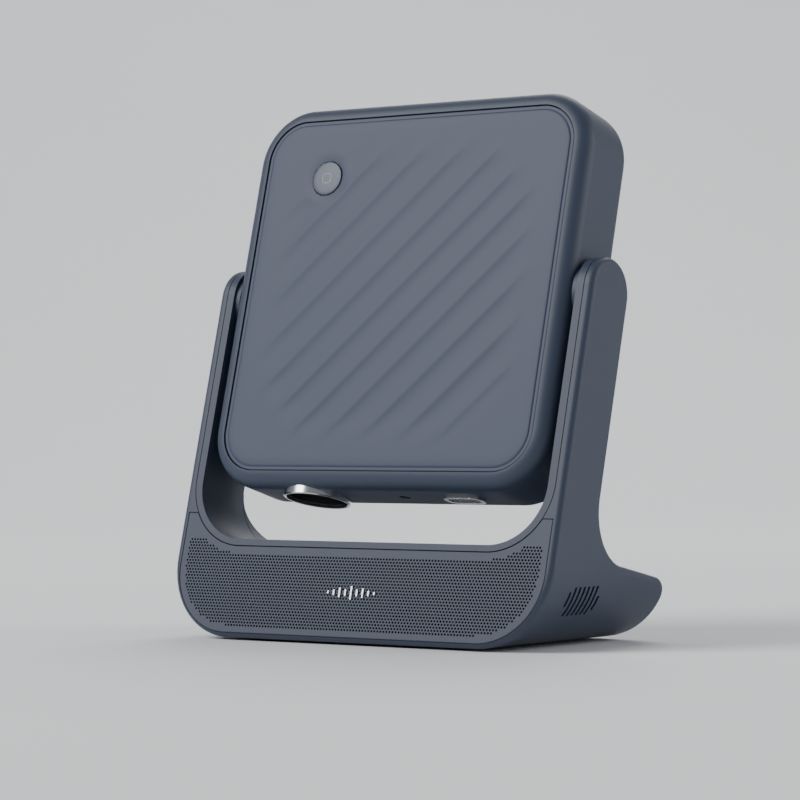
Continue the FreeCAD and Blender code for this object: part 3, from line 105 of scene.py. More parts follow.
def linear(hexadecimal):
    """A linear RGB triple from an sRGB hex colour."""
    channels = (int(hexadecimal[index:index + 2], 16) / 255 for index in (1, 3, 5))
    return tuple(c / 12.92 if c <= 0.04045 else ((c + 0.055) / 1.055) ** 2.4 for c in channels)


def colour(name, description, hexadecimal):
    """A colour property from an sRGB hex value."""
    return FloatVectorProperty(name=name, description=description, subtype="COLOR", size=3,
                               min=0, max=1, default=linear(hexadecimal))


class ColourSettings(bpy.types.PropertyGroup):
    """Colours of the visible finishes"""
    stand: colour("Stand", "Moulded ABS of the shell and liner", "#333d50")
    head: colour("Head", "Moulded ABS of the head's frame", "#343e51")
    cover: colour("Cover", "Soft matt front cover", "#353f56")
    grille: colour("Grille", "Perforated speaker panel", "#343e51")
    button: colour("Button", "Power button cap", "#3e485c")
    silver: colour("Silver", "Turned aluminium of the lens ring", "#d9dadc")


class CoverSettings(bpy.types.PropertyGroup):
    """The rippled front cover"""
    grow: length("Grow", "How far the edge reaches beyond the plain cover's", 0.2)
    corner: length("Corner", "Corner radius of the cover", 17.5)
    thickness: length("Thickness", "Depth of the cover's side wall", 2.4)
    edge_step: length("Edge step", "Width of the lower border along the edge", 1.5)
    shoulder: length("Shoulder", "Width over which the face falls towards the border", 4.5)
    shoulder_drop: length("Shoulder drop", "How far the face falls towards the border", 0.22)
    edge_drop: length("Edge drop", "Depth of the lower border", 0.3)
    ripple_pitch: length("Ripple pitch", "Distance between two crests", 13.87)
    first_crest: length("First crest", "Offset of the upper left crest from the middle", 56.5)
    crest_bow: length("Crest bow", "How far the upper crests crowd towards the middle", 1.6)
    crest_count: IntProperty(name="Crests", description="Number of crests", default=11)
    lean: FloatProperty(name="Lean", description="How much steeper the lower side of a crest is",
                        default=0.6)
    crest_blunt: FloatProperty(name="Blunting", description="Share of the height lost at a crest",
                               default=0.1)
    crest_width: length("Crest width", "Half width of a crest's rounding", 1.1)
    ripple_height: length("Ripple height", "From trough to crest", 0.48)
    field: length("Field", "Half width of the rippled field", 69)
    fade: length("Fade", "Width over which the ripples fade out", 17)
    spacing: length("Spacing", "Grid spacing of the mesh", 0.55)


class ButtonSettings(bpy.types.PropertyGroup):
    """The power button"""
    radius: length("Radius", "Radius of the cap", 7.5)
    gap: length("Gap", "Gap round the cap", 0.28)
    dome: length("Dome", "Rise of the cap's middle", 0.15)
    edge: length("Edge", "Rounding of the cap's edge", 0.35)
    dish: length("Dish", "Radius of the shallow dish round the cap", 13)
    dish_depth: length("Dish depth", "Depth of the dish", 0.5)
    mark: length("Mark", "Size of the outlined square on the cap", 4.6)


class GrilleSettings(bpy.types.PropertyGroup):
    """The perforated speaker panel"""
    grow: length("Grow", "How far the sides reach beyond the plain panel's", 0.1)
    bottom: length("Bottom", "Lower edge, up the face", 2.35)
    top: length("Top", "Upper ends beside the arms", 53.65)
    corner: length("Corner", "Lower corner radius", 28.85)
    band: length("Band", "Half width of the liner's band at the arms", 90.83)
    floor: length("Floor", "Upper edge in the middle", 39.6)
    band_corner: length("Band corner", "Radius of the upper edge's bends", 28.63)
    thickness: length("Thickness", "Thickness of the panel", 1.6)
    edge: length("Edge", "Chamfer of the panel's edge", 0.3)
    pitch: length("Pitch", "Distance between neighbouring holes", 1.5)
    hole: length("Hole", "Hole diameter", 0.96)
    ear_margin: length("Ear margin", "From the upper ends to the first holes", 11.1)
    margin: length("Margin", "From the panel's outline to the first holes", 3.2)


class StageSettings(bpy.types.PropertyGroup):
    """Camera, floor and lights"""
    azimuth: FloatProperty(name="Azimuth", description="Camera angle round the object",
                           default=math.radians(34.93), subtype="ANGLE", unit="ROTATION")
    elevation: FloatProperty(name="Elevation", description="Camera angle above the horizon",
                             default=math.radians(-0.68), subtype="ANGLE", unit="ROTATION")
    distance: length("Distance", "From the camera to the point it looks at", 1264.6)
    target_y: length("Target depth", "Depth of the point that the camera looks at", -10.45)
    target_z: length("Target height", "Height of the point that the camera looks at", 100.55)
    lens: FloatProperty(name="Focal length", description="In millimetres, on a 36 mm sensor",
                        default=135.96)
    sky: FloatProperty(name="Sky", description="Strength of the light from all sides",
                       default=0.26)


# Each light's place in metres, the side of its square in metres, and its power in watts.
LIGHTS = {"key_light": ((-1.7, -2.4, 2.2), 1.9, 104),
          "side_light": ((2.2, 1.2, 1.0), 2.0, 28),
          "back_light": ((-0.6, 1.6, 1.9), 1.4, 22)}
LIGHT_TARGET = Vector((0, 0, 0.12))
SKY_COLOUR = (0.8, 0.83, 0.88, 1)
FLOOR_BEND = 1.0
FLOOR_BACK = 1.6


# Meshes ---------------------------------------------------------------------------------------

def new_piece(name, mesh, material, body, matrix=None, smooth=True):
    """Link a mesh as a piece that rides on a CAD body."""
    if matrix:
        mesh.transform(matrix)
    mesh.materials.append(material)
    mesh.polygons.foreach_set("use_smooth", [smooth] * len(mesh.polygons))
    mesh.update()
    piece = bpy.data.objects.new(name, mesh)
    bpy.context.scene.collection.objects.link(piece)
    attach(piece, body)
    return piece


def from_bmesh(name, work):
    """A mesh from a bmesh, which is freed."""
    mesh = bpy.data.meshes.new(name)
    work.to_mesh(mesh)
    work.free()
    return mesh


def mesh_from(name, vertices, faces):
    """A mesh from vertices and faces, with its normals made consistent."""
    mesh = bpy.data.meshes.new(name)
    mesh.from_pydata([tuple(vertex) for vertex in vertices], [], faces)
    work = bmesh.new()
    work.from_mesh(mesh)
    bmesh.ops.recalc_face_normals(work, faces=work.faces)
    work.to_mesh(mesh)
    work.free()
    return mesh


def lathe(name, profile, segments=96):
    """A closed turned form about Z from (radius, height) points; a zero radius is a pole."""
    vertices, rings, faces = [], [], []
    for radius, height in profile:
        if radius < 1e-9:
            rings.append([len(vertices)] * segments)
            vertices.append((0, 0, height))
            continue
        rings.append(range(len(vertices), len(vertices) + segments))
        for index in range(segments):
            angle = 2 * math.pi * index / segments
            vertices.append((radius * math.cos(angle), radius * math.sin(angle), height))
    for lower, upper in zip(rings, rings[1:]):
        for index in range(segments):
            beside = (index + 1) % segments
            corners = [lower[index], lower[beside], upper[beside], upper[index]]
            faces.append(list(dict.fromkeys(corners)))
    return mesh_from(name, vertices, [face for face in faces if len(face) > 2])


def smooth_step(value):
    """0 below 0, 1 above 1, and a smooth curve between."""
    value = min(1.0, max(0.0, value))
    return value * value * (3 - 2 * value)


def edge_distance(x, z, half_x, half_z, corner):
    """Distance from a point inside a rounded rectangle to its edge."""
    over_x, over_z = abs(x) - (half_x - corner), abs(z) - (half_z - corner)
    if over_x > 0 and over_z > 0:
        return corner - math.hypot(over_x, over_z)
    return min(half_x - abs(x), half_z - abs(z))


def crest_places(cover):
    """Offsets of the crests from the middle, towards the upper left."""
    places = []
    for index in range(-1, cover.crest_count):
        crowd = math.sin(math.pi * index / 6) if 0 < index < 6 else 0
        places.append(cover.first_crest - index * cover.ripple_pitch - crowd * cover.crest_bow)
    return places


# A hollow of this steepness reaches just below 0 between two crests at 1.
HOLLOW = 3.6
# The share of a ripple's height that lies below the cover's plane.
RIPPLE_BASE = 0.62


def ripple(offset, crests, cover):
    """Height between 0 and 1 across the ripples: hollows, steeper below each crest."""
    for upper, lower in zip(crests, crests[1:]):
        if lower < offset <= upper:
            share = (upper - offset) / (upper - lower)
            hollow = HOLLOW * share * (1 - share) * (1 + cover.lean * (1 - 2 * share))
            near = min(share, 1 - share) * (upper - lower)
            return 1 - hollow - cover.crest_blunt * max(0, 1 - near / cover.crest_width) ** 2
    return 0.5


def cover_height(x, z, half_x, half_z, crests, cover, button, centre):
    """How far the cover's surface stands out from its plane at a point of the face."""
    reach = cover.field - max(abs(x), abs(z), 0.78 * (abs(x) + abs(z)) - 0.25 * cover.field)
    strength = smooth_step(reach / cover.fade)
    height = ripple((z - x) / math.sqrt(2), crests, cover)
    wave = (height - RIPPLE_BASE) * cover.ripple_height
    away = math.hypot(x - centre.x, z - centre.z)
    calm = smooth_step((away - button.radius - 1.5 * MM) / (button.dish - button.radius))
    dish = -button.dish_depth * max(0, (button.dish - away) / (button.dish - button.radius)) ** 2
    edge = edge_distance(x, z, half_x, half_z, cover.corner)
    step = -cover.edge_drop * (1 - smooth_step((edge - cover.edge_step) / (0.6 * MM)))
    fall = 1 - min(1.0, max(0.0, (edge - cover.edge_step) / cover.shoulder))
    step -= cover.shoulder_drop * fall * fall
    round_off = -0.3 * MM * (1 - min(1.0, edge / (0.4 * MM))) ** 2
    return wave * strength * calm + dish + step + round_off


def cover_mesh(cover, button):
    """The cover as a fine grid with its ripples, dish and lower border."""
    low, high = head_span("top_cover")
    half_x = (high.x - low.x) / 2 + cover.grow
    half_z = (high.z - low.z) / 2 + cover.grow
    plane = -head_half_depth()
    centre = button_centre()
    crests = crest_places(cover)
    rows = border_steps(half_z, cover)
    columns = border_steps(half_x, cover)
    hole = button.radius + button.gap
    work = bmesh.new()
    grid = []
    for z in rows:
        over = max(0.0, abs(z) - (half_z - cover.corner))
        half_row = half_x - cover.corner + math.sqrt(max(0.0, cover.corner ** 2 - over ** 2))
        line = []
        for column in columns:
            x = column * half_row / half_x
            away = Vector((x - centre.x, z - centre.z))
            if abs(away.length - hole) < 0.5 * cover.spacing:
                away *= hole / away.length
            place_x, place_z = centre.x + away.x, centre.z + away.y
            height = cover_height(place_x, place_z, half_x, half_z, crests, cover, button, centre)
            line.append(work.verts.new((place_x, plane - height, place_z)))
        grid.append(line)
    for lower, upper in zip(grid, grid[1:]):
        for index in range(len(lower) - 1):
            corners = (lower[index], lower[index + 1], upper[index + 1], upper[index])
            middle = sum((corner.co for corner in corners), Vector()) / 4
            if math.hypot(middle.x - centre.x, middle.z - centre.z) > hole:
                work.faces.new(corners)
    bmesh.ops.delete(work, geom=[vert for vert in work.verts if not vert.link_faces],
                     context="VERTS")
    rim = [edge for edge in work.edges if edge.is_boundary]
    wall = bmesh.ops.extrude_edge_only(work, edges=rim)["geom"]
    for vert in wall:
        if isinstance(vert, bmesh.types.BMVert):
            vert.co.y = plane + cover.thickness
    bmesh.ops.recalc_face_normals(work, faces=work.faces)
    for edge in rim:
        edge.smooth = False
    return from_bmesh("front_cover", work)


def border_steps(half, cover):
    """Grid lines from edge to edge, closer together near the border."""
    fine = [0, 0.1, 0.25, 0.45, 0.8, 1.15, 1.45, 1.55, 1.68, 1.82, 1.95, 2.3]
    near = [-half + value * MM for value in fine]
    count = round(2 * (half - fine[-1] * MM) / cover.spacing)
    start = near[-1]
    middle = [start + (-2 * start) * index / count for index in range(1, count)]
    return near + middle + [-value for value in reversed(near)]


def head_half_depth():
    """Half the head's thickness."""
    low, high = head_span("head_shell")
    return (high.y - low.y) / 2


def button_centre():
    """The button's centre in head axes."""
    low, high = head_span("power_button")
    return (low + high) / 2


def arc(centre, radius, start, end, count=24):
    """Points along an arc, angles in degrees."""
    return [Vector((centre[0] + radius * math.cos(math.radians(start + (end - start) * k / count)),
                    centre[1] + radius * math.sin(math.radians(start + (end - start) * k / count))))
            for k in range(count + 1)]


def grille_outline(grille, shrink):
    """The panel's outline up the face, anticlockwise, moved inwards by shrink."""
    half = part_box("speaker_grille")[1].x + grille.grow - shrink
    low, radius = grille.bottom + shrink, grille.corner - shrink
    ear = grille.top - shrink
    bend = grille.band_corner + shrink
    bend_x = grille.band - grille.band_corner
    bend_z = grille.floor + grille.band_corner
    ear_angle = math.degrees(math.asin((ear - bend_z) / bend))
    points = arc((-half + radius, low + radius), radius, 180, 270)
    points += arc((half - radius, low + radius), radius, 270, 360)
    points.append(Vector((half, ear)))
    points += arc((bend_x, bend_z), bend, ear_angle, -90)
    points += arc((-bend_x, bend_z), bend, -90, -180 - ear_angle)
    points.append(Vector((-half, ear)))
    return points


def outline_distance(point, outline):
    """Signed distance from a point to a closed outline, positive inside."""
    inside, nearest = False, 1e9
    for first, second in zip(outline, outline[1:] + outline[:1]):
        along = second - first
        share = max(0.0, min(1.0, (point - first).dot(along) / max(along.length_squared, 1e-12)))
        nearest = min(nearest, (first + along * share - point).length)
        if (first.y > point.y) != (second.y > point.y):
            cross = first.x + (point.y - first.y) / (second.y - first.y) * (second.x - first.x)
            inside ^= point.x < cross
    return nearest if inside else -nearest


def grille_mesh(grille):
    """The panel with staggered rows of round holes, each in its own six-sided cell."""
    outline = grille_outline(grille, grille.edge)
    work = bmesh.new()
    known = {}

    def corner(x, z, depth=0.0):
        key = (round(x * 1e6), round(z * 1e6), round(depth * 1e6))
        if key not in known:
            known[key] = work.verts.new((x, depth, z))
        return known[key]

    row_step = grille.pitch * math.sqrt(3) / 2
    cell = [(grille.pitch / math.sqrt(3) * scale, 30 * index)
            for index, scale in enumerate((math.cos(math.pi / 6), 1) * 6)]
    rows = int((grille.top - grille.ear_margin - grille.bottom - grille.margin) / row_step) + 1
    reach = int(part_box("speaker_grille")[1].x / grille.pitch) + 2
    for row in range(rows):
        z = grille.bottom + grille.margin + row * row_step
        for column in range(-reach, reach):
            x = (column + 0.5 * ((row + 1) % 2)) * grille.pitch
            if outline_distance(Vector((x, z)), outline) < grille.margin - grille.edge:
                continue
            around = []
            for size, angle in cell:
                turn = math.radians(angle)
                outer = corner(x + size * math.cos(turn), z + size * math.sin(turn))
                edge = (x + grille.hole / 2 * math.cos(turn), z + grille.hole / 2 * math.sin(turn))
                around.append((outer, corner(*edge), corner(*edge, grille.thickness * 0.7)))
            for one, two in zip(around, around[1:] + around[:1]):
                work.faces.new((one[0], two[0], two[1], one[1]))
                work.faces.new((one[1], two[1], two[2], one[2]))
    field_edges = [edge for edge in work.edges
                   if edge.is_boundary and all(vert.co.y < 1e-9 for vert in edge.verts)]
    border = [corner(point.x, point.y) for point in outline]
    rim = [work.edges.new((one, two)) for one, two in zip(border, border[1:] + border[:1])]
    bmesh.ops.triangle_fill(work, use_beauty=True, use_dissolve=False, edges=rim + field_edges,
                            normal=(0, -1, 0))
    full = grille_outline(grille, 0)
    chamfer = [corner(point.x, point.y, grille.edge) for point in full]
    back = [corner(point.x, point.y, grille.thickness) for point in full]
    for near, far in ((border, chamfer), (chamfer, back)):
        for index in range(len(near)):
            beside = (index + 1) % len(near)
            work.faces.new((near[index], near[beside], far[beside], far[index]))
    bmesh.ops.recalc_face_normals(work, faces=work.faces)
    return from_bmesh("speaker_panel", work)


def face_matrix():
    """From face axes (origin at the stand's front bottom edge) to the row frame."""
    matrix = head_matrix()
    front = PIVOT + INTO * head_span("stand_liner")[0].y
    down = (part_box("stand_shell")[0].z - front.z) / UP.z
    matrix.translation = front + UP * down
    return matrix


def button_profile(button, depth):
    """Half the cap's section from its middle to its back edge, domed with a rounded rim."""
    rim = button.radius - button.edge
    points = [(rim * share, button.dome * (1 - share ** 2)) for share in (0, 0.25, 0.5, 0.75, 1)]
    for angle in (30, 60, 90):
        turn = math.radians(angle)
        points.append((rim + button.edge * math.sin(turn), -button.edge * (1 - math.cos(turn))))
    points += [(button.radius, -depth), (0, -depth)]
    return points


def rounded_square(half, corner, count=8):
    """Points of a rounded square, anticlockwise."""
    inner = half - corner
    return [point for x, z, start in ((inner, -inner, -90), (inner, inner, 0),
                                      (-inner, inner, 90), (-inner, -inner, 180))
            for point in arc((x, z), corner, start, start + 90, count)]


def outline_ring(name, half, corner, width, height):
    """A flat raised outline, such as a moulded mark."""
    outer = rounded_square(half, corner)
    inner = rounded_square(half - width, corner - width)
    count = len(outer)
    vertices, faces = [], []
    for loop, level in ((outer, 0), (outer, height), (inner, height), (inner, 0)):
        vertices += [(point.x, -level, point.y) for point in loop]
    for layer in range(3):
        for index in range(count):
            beside = (index + 1) % count
            faces.append((layer * count + index, layer * count + beside,
                          (layer + 1) * count + beside, (layer + 1) * count + index))
    return mesh_from(name, vertices, faces)


def capsule_bar(half_width, half_height, rise, bevel):
    """Vertices and faces of an upright bar with round ends and a bevelled front."""
    def loop(shrink, level):
        radius = half_width - shrink
        end = half_height - half_width
        points = arc((0, end), radius, 0, 180, 10) + arc((0, -end), radius, 180, 360, 10)
        return [(point.x, -level, point.y) for point in points]
    loops = [loop(0, 0), loop(0, rise - bevel), loop(bevel * 0.4, rise - bevel * 0.4),
             loop(bevel, rise)]
    count = len(loops[0])
    vertices = [vertex for points in loops for vertex in points]
    faces = [(layer * count + index, layer * count + (index + 1) % count,
              (layer + 1) * count + (index + 1) % count, (layer + 1) * count + index)
             for layer in range(3) for index in range(count)]
    faces.append(tuple(range(3 * count, 4 * count)))
    return vertices, faces


# Finishes -------------------------------------------------------------------------------------

def add_node(tree, kind, inputs=None, **settings):
    """Add a node, set its properties, and set or link its inputs."""
    node = tree.nodes.new(kind)
    for name, value in settings.items():
        setattr(node, name, value)
    for key, value in (inputs or {}).items():
        if isinstance(value, bpy.types.NodeSocket):
            tree.links.new(value, node.inputs[key])
        else:
            node.inputs[key].default_value = value
    return node


def finish_of(name, rgb, **sockets):
    """A new material with its Principled shader, whose constants are set on the sockets."""
    material = bpy.data.materials.new(name)
    material.use_nodes = True
    tree = material.node_tree
    shader = next(node for node in tree.nodes if node.type == "BSDF_PRINCIPLED")
    shader.inputs["Base Color"].default_value = (*rgb, 1)
    for key, value in sockets.items():
        shader.inputs[key.replace("_", " ")].default_value = value
    material.diffuse_color = (*rgb, 1)
    return material, tree, shader


def object_place(tree):
    """The place on the object, in metres."""
    return add_node(tree, "ShaderNodeTexCoord").outputs["Object"]


def mottled(tree, shader, rgb, patch, amount):
    """Vary a base colour a little over patches of a real size."""
    noise = add_node(tree, "ShaderNodeTexNoise",
                     {"Vector": object_place(tree), "Scale": 1 / patch, "Detail": 2.0})
    blend = add_node(tree, "ShaderNodeMix", {"Factor": noise.outputs["Fac"]}, data_type="RGBA")
    blend.inputs["A"].default_value = (*(c * (1 - amount) for c in rgb), 1)
    blend.inputs["B"].default_value = (*(min(1, c * (1 + amount)) for c in rgb), 1)
    tree.links.new(blend.outputs["Result"], shader.inputs["Base Color"])


def grained(tree, shader, grain, depth, stretch=(1, 1, 1)):
    """A fine bump whose grain has a real size; stretch draws it out along an axis."""
    scaled = add_node(tree, "ShaderNodeVectorMath", {0: object_place(tree), 1: stretch},
                      operation="MULTIPLY")
    noise = add_node(tree, "ShaderNodeTexNoise",
                     {"Vector": scaled.outputs[0], "Scale": 1 / grain, "Detail": 3.0})
    bump = add_node(tree, "ShaderNodeBump",
                    {"Height": noise.outputs["Fac"], "Strength": 0.6, "Distance": depth})
    tree.links.new(bump.outputs["Normal"], shader.inputs["Normal"])
    return noise


def moulded_abs(name, rgb, roughness=0.52, grain=0.55 * MM, depth=0.006 * MM):
    """ABS from a spark-eroded mould: an even satin with a soft, wide highlight.
    The grain of about 0.1 mm is drawn at 0.55 mm so that it shows."""
    material, tree, shader = finish_of(name, rgb, Roughness=roughness, IOR=1.54)
    mottled(tree, shader, rgb, 45 * MM, 0.02)
    grained(tree, shader, grain, depth)
    return material


def turned_aluminium(name, rgb, centre, axis, roughness=0.2):
    """Turned and anodised aluminium: bright, with fine rings round the axis.
    The tool marks of about 0.1 mm are drawn 0.35 mm apart so that they show."""
    material, tree, shader = finish_of(name, rgb, Metallic=1.0, Roughness=roughness)
    from_axis = add_node(tree, "ShaderNodeVectorMath",
                         {0: object_place(tree), 1: tuple(centre)}, operation="SUBTRACT")
    square = add_node(tree, "ShaderNodeVectorMath", {0: from_axis.outputs[0], 1: tuple(axis)},
                      operation="CROSS_PRODUCT")
    radius = add_node(tree, "ShaderNodeVectorMath", {0: square.outputs[0]}, operation="LENGTH")
    rings = add_node(tree, "ShaderNodeMath",
                     {0: radius.outputs["Value"], 1: 2 * math.pi / (0.35 * MM)},
                     operation="MULTIPLY")
    wave = add_node(tree, "ShaderNodeMath", {0: rings.outputs[0]}, operation="SINE")
    bump = add_node(tree, "ShaderNodeBump",
                    {"Height": wave.outputs[0], "Strength": 0.25, "Distance": 0.004 * MM})
    tree.links.new(bump.outputs["Normal"], shader.inputs["Normal"])
    return material


def rolled_metal(name, rgb, roughness, grain=0.4 * MM):
    """Rolled or extruded metal with a satin finish drawn out along its length."""
    material, tree, shader = finish_of(name, rgb, Metallic=1.0, Roughness=roughness)
    grained(tree, shader, grain, 0.004 * MM, stretch=(1, 1, 0.15))
    return material


def coated_glass(name, rgb):
    """Optical glass with a violet-blue coating: clear, very smooth, faintly tinted mirrors."""
    material, tree, shader = finish_of(name, rgb, Roughness=0.015, IOR=1.52,
                                       Transmission_Weight=1.0, Coat_Weight=1.0,
                                       Coat_Roughness=0.02)
    shader.inputs["Coat Tint"].default_value = (*linear("#b9a8ff"), 1)
    mottled(tree, shader, rgb, 20 * MM, 0.03)
    return material


def polished_acrylic(name, rgb):
    """Dark tinted acrylic: deep, glossy and almost black, as over a sensor."""
    material, tree, shader = finish_of(name, rgb, Roughness=0.12, IOR=1.49,
                                       Specular_IOR_Level=0.15)
    mottled(tree, shader, rgb, 6 * MM, 0.15)
    return material


def silicone_rubber(name, rgb):
    """Soft rubber feet: matt and slightly dusty."""
    material, tree, shader = finish_of(name, rgb, Roughness=0.85, IOR=1.45)
    mottled(tree, shader, rgb, 5 * MM, 0.2)
    grained(tree, shader, 0.6 * MM, 0.02 * MM)
    return material


def solder_mask(name, rgb):
    """A circuit board: green lacquer over copper tracks, which show as paler lines."""
    material, tree, shader = finish_of(name, rgb, Roughness=0.35, IOR=1.5)
    tracks = add_node(tree, "ShaderNodeTexBrick",
                      {"Vector": object_place(tree), "Scale": 1.0, "Mortar Size": 0.25 * MM,
                       "Brick Width": 6 * MM, "Row Height": 2.2 * MM})
    tracks.inputs["Color1"].default_value = (*rgb, 1)
    tracks.inputs["Color2"].default_value = (*(c * 0.8 for c in rgb), 1)
    tracks.inputs["Mortar"].default_value = (*(min(1, c * 2.2 + 0.02) for c in rgb), 1)
    tree.links.new(tracks.outputs["Color"], shader.inputs["Base Color"])
    return material


def pressed_paper(name, rgb):
    """A loudspeaker cone: black pressed paper with short fibres."""
    material, tree, shader = finish_of(name, rgb, Roughness=0.9, IOR=1.4)
    mottled(tree, shader, rgb, 1.5 * MM, 0.35)
    grained(tree, shader, 0.5 * MM, 0.03 * MM)
    return material


def painted_floor(name, rgb):
    """A plain pale studio floor."""
    material, tree, shader = finish_of(name, rgb, Roughness=0.9)
    mottled(tree, shader, rgb, 400 * MM, 0.01)
    return material


FINISHES = {}


def make_finishes(colours):
    """One material for each slot of the record."""
    low, high = head_span("lens_ring")
    lens_centre = head_matrix() @ ((low + high) / 2)
    sensor_low, sensor_high = head_span("sensor_frame")
    sensor_centre = head_matrix() @ ((sensor_low + sensor_high) / 2)
    black = linear("#17181a")
    FINISHES.update({
        "shell_plastic": moulded_abs("moulded_abs_stand", tuple(colours.stand)),
        "head_plastic": moulded_abs("moulded_abs_head", tuple(colours.head)),
        "cover_plastic": moulded_abs("soft_matt_abs_cover", tuple(colours.cover), roughness=0.54),
        "grille_plastic": moulded_abs("moulded_abs_grille", tuple(colours.grille)),
        "button_plastic": moulded_abs("satin_abs_button", tuple(colours.button), roughness=0.42),
        "button_mark": moulded_abs("satin_abs_mark", linear("#5a6478"), roughness=0.3),
        "dark_plastic": moulded_abs("black_abs", black, roughness=0.5),
        "chip_plastic": moulded_abs("black_epoxy", linear("#1f2022"), roughness=0.55),
        "silver_metal": turned_aluminium("turned_aluminium", tuple(colours.silver),
                                         lens_centre, UP),
        "sensor_metal": turned_aluminium("polished_aluminium", tuple(colours.silver),
                                         sensor_centre, UP, roughness=0.16),
        "badge_metal": rolled_metal("satin_aluminium_badge", linear("#c9cbce"), 0.28),
        "steel": rolled_metal("zinc_plated_steel", linear("#a4a7ab"), 0.34),
        "sink_aluminium": rolled_metal("extruded_aluminium", linear("#b9bcbf"), 0.4),
        "brass": rolled_metal("machined_brass", linear("#c9a35a"), 0.25),
        "magnet": rolled_metal("ferrite_and_steel", linear("#5a5b5e"), 0.55),
        "rubber": silicone_rubber("silicone_rubber", linear("#1a1b1c")),
        "glass": coated_glass("coated_lens_glass", linear("#dfe6ff")),
        "dark_glass": polished_acrylic("tinted_acrylic", linear("#101217")),
        "circuit_board": solder_mask("green_solder_mask", linear("#1d5a37")),
        "cone_paper": pressed_paper("pressed_paper", linear("#202124")),
    })


NODE_FINISH = {"head_shell": "head_plastic", "pivot_collar_left": "head_plastic",
               "pivot_collar_right": "head_plastic", "rear_cover": "head_plastic",
               "sensor_frame": "sensor_metal"}


def dress(nodes):
    """Give CAD nodes their finish: the record's slot, or the node's own choice."""
    slots = {part["node"]: part["material_slot"] for part in frame["record"]["subparts"]}
    for name in nodes:
        material = FINISHES[NODE_FINISH.get(name, slots[name])]
        node = frame["nodes"][name]
        if not node.material_slots:
            node.data.materials.append(material)
        for holder in node.material_slots:
            holder.material = material


# Operators ------------------------------------------------------------------------------------

class PROJECTOR_OT_finishes(bpy.types.Operator):
    """Make the finishes and give one to every CAD node"""
    bl_idname = "projector.finishes"
    bl_label = "Finishes"

    def execute(self, context):
        make_finishes(context.scene.projector_colours)
        dress(frame["nodes"])
        return {"FINISHED"}


class PROJECTOR_OT_front_cover(bpy.types.Operator):
    """Make the rippled front cover of the head"""
    bl_idname = "projector.front_cover"
    bl_label = "Front cover"

    def execute(self, context):
        scene = context.scene
        mesh = cover_mesh(scene.projector_cover, scene.projector_button)
        piece = new_piece("front_cover", mesh, FINISHES["cover_plastic"], "projector",
                          head_matrix())
        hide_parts("top_cover")
        return {"FINISHED"}


class PROJECTOR_OT_power_button(bpy.types.Operator):
    """Make the domed power button and the outline moulded on it"""
    bl_idname = "projector.power_button"
    bl_label = "Power button"

    def execute(self, context):
        button = context.scene.projector_button
        low, high = head_span("power_button")
        centre = (low + high) / 2
        face = Matrix.Translation((centre.x, low.y, centre.z))
        turned = head_matrix() @ face @ Matrix.Rotation(math.radians(90), 4, "X")
        cap_mesh = lathe("button_cap", button_profile(button, high.y - low.y))
        cap = new_piece("button_cap", cap_mesh, FINISHES["button_plastic"], "power_button", turned)
        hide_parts("power_button")
        mark_mesh = outline_ring("button_mark", button.mark / 2, 1.3 * MM, 0.4 * MM,
                                 button.dome + 0.03 * MM)
        mark = new_piece("button_mark", mark_mesh, FINISHES["button_mark"], "power_button",
                         head_matrix() @ face, smooth=False)
        return {"FINISHED"}


class PROJECTOR_OT_speaker_panel(bpy.types.Operator):
    """Make the speaker panel with its fine round holes"""
    bl_idname = "projector.speaker_panel"
    bl_label = "Speaker panel"

    def execute(self, context):
        mesh = grille_mesh(context.scene.projector_grille)
        piece = new_piece("speaker_panel", mesh, FINISHES["grille_plastic"], "stand",
                          face_matrix(), smooth=False)
        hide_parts("speaker_grille")
        return {"FINISHED"}


BADGE_BAR_HALF_WIDTH = 0.55 * MM
BADGE_BEVEL = 0.2 * MM
# Heights of the badge's bars in millimetres, as a plain sound wave.
BADGE_HEIGHTS = (1.6, 2.8, 4.4, 3.2, 6.0, 3.2, 4.4, 2.8, 1.6)


class PROJECTOR_OT_badge(bpy.types.Operator):
    """Make the sound-wave badge of bevelled metal bars"""
    bl_idname = "projector.badge"
    bl_label = "Badge"

    def execute(self, context):
        place = face_matrix().inverted()
        shape = frame["nodes"]["grille_badge"].data
        spots = [place @ vertex.co for vertex in shape.vertices]
        low_x = min(spot.x for spot in spots)
        span_x = max(spot.x for spot in spots) - low_x
        middle = (min(spot.z for spot in spots) + max(spot.z for spot in spots)) / 2
        rise = -min(spot.y for spot in spots)
        half_width = BADGE_BAR_HALF_WIDTH
        vertices, faces = [], []
        for index, height in enumerate(BADGE_HEIGHTS):
            share = index / (len(BADGE_HEIGHTS) - 1)
            x = low_x + half_width + (span_x - 2 * half_width) * share
            bar, sides = capsule_bar(half_width, height / 2 * MM, rise, BADGE_BEVEL)
            start = len(vertices)
            vertices += [(spot[0] + x, spot[1], spot[2] + middle) for spot in bar]
            faces += [tuple(start + corner for corner in side) for side in sides]
        piece = new_piece("badge_bars", mesh_from("badge_bars", vertices, faces),
                          FINISHES["badge_metal"], "stand", face_matrix(), smooth=False)
        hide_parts("grille_badge")
        return {"FINISHED"}


LENS_DOME = 1.5 * MM


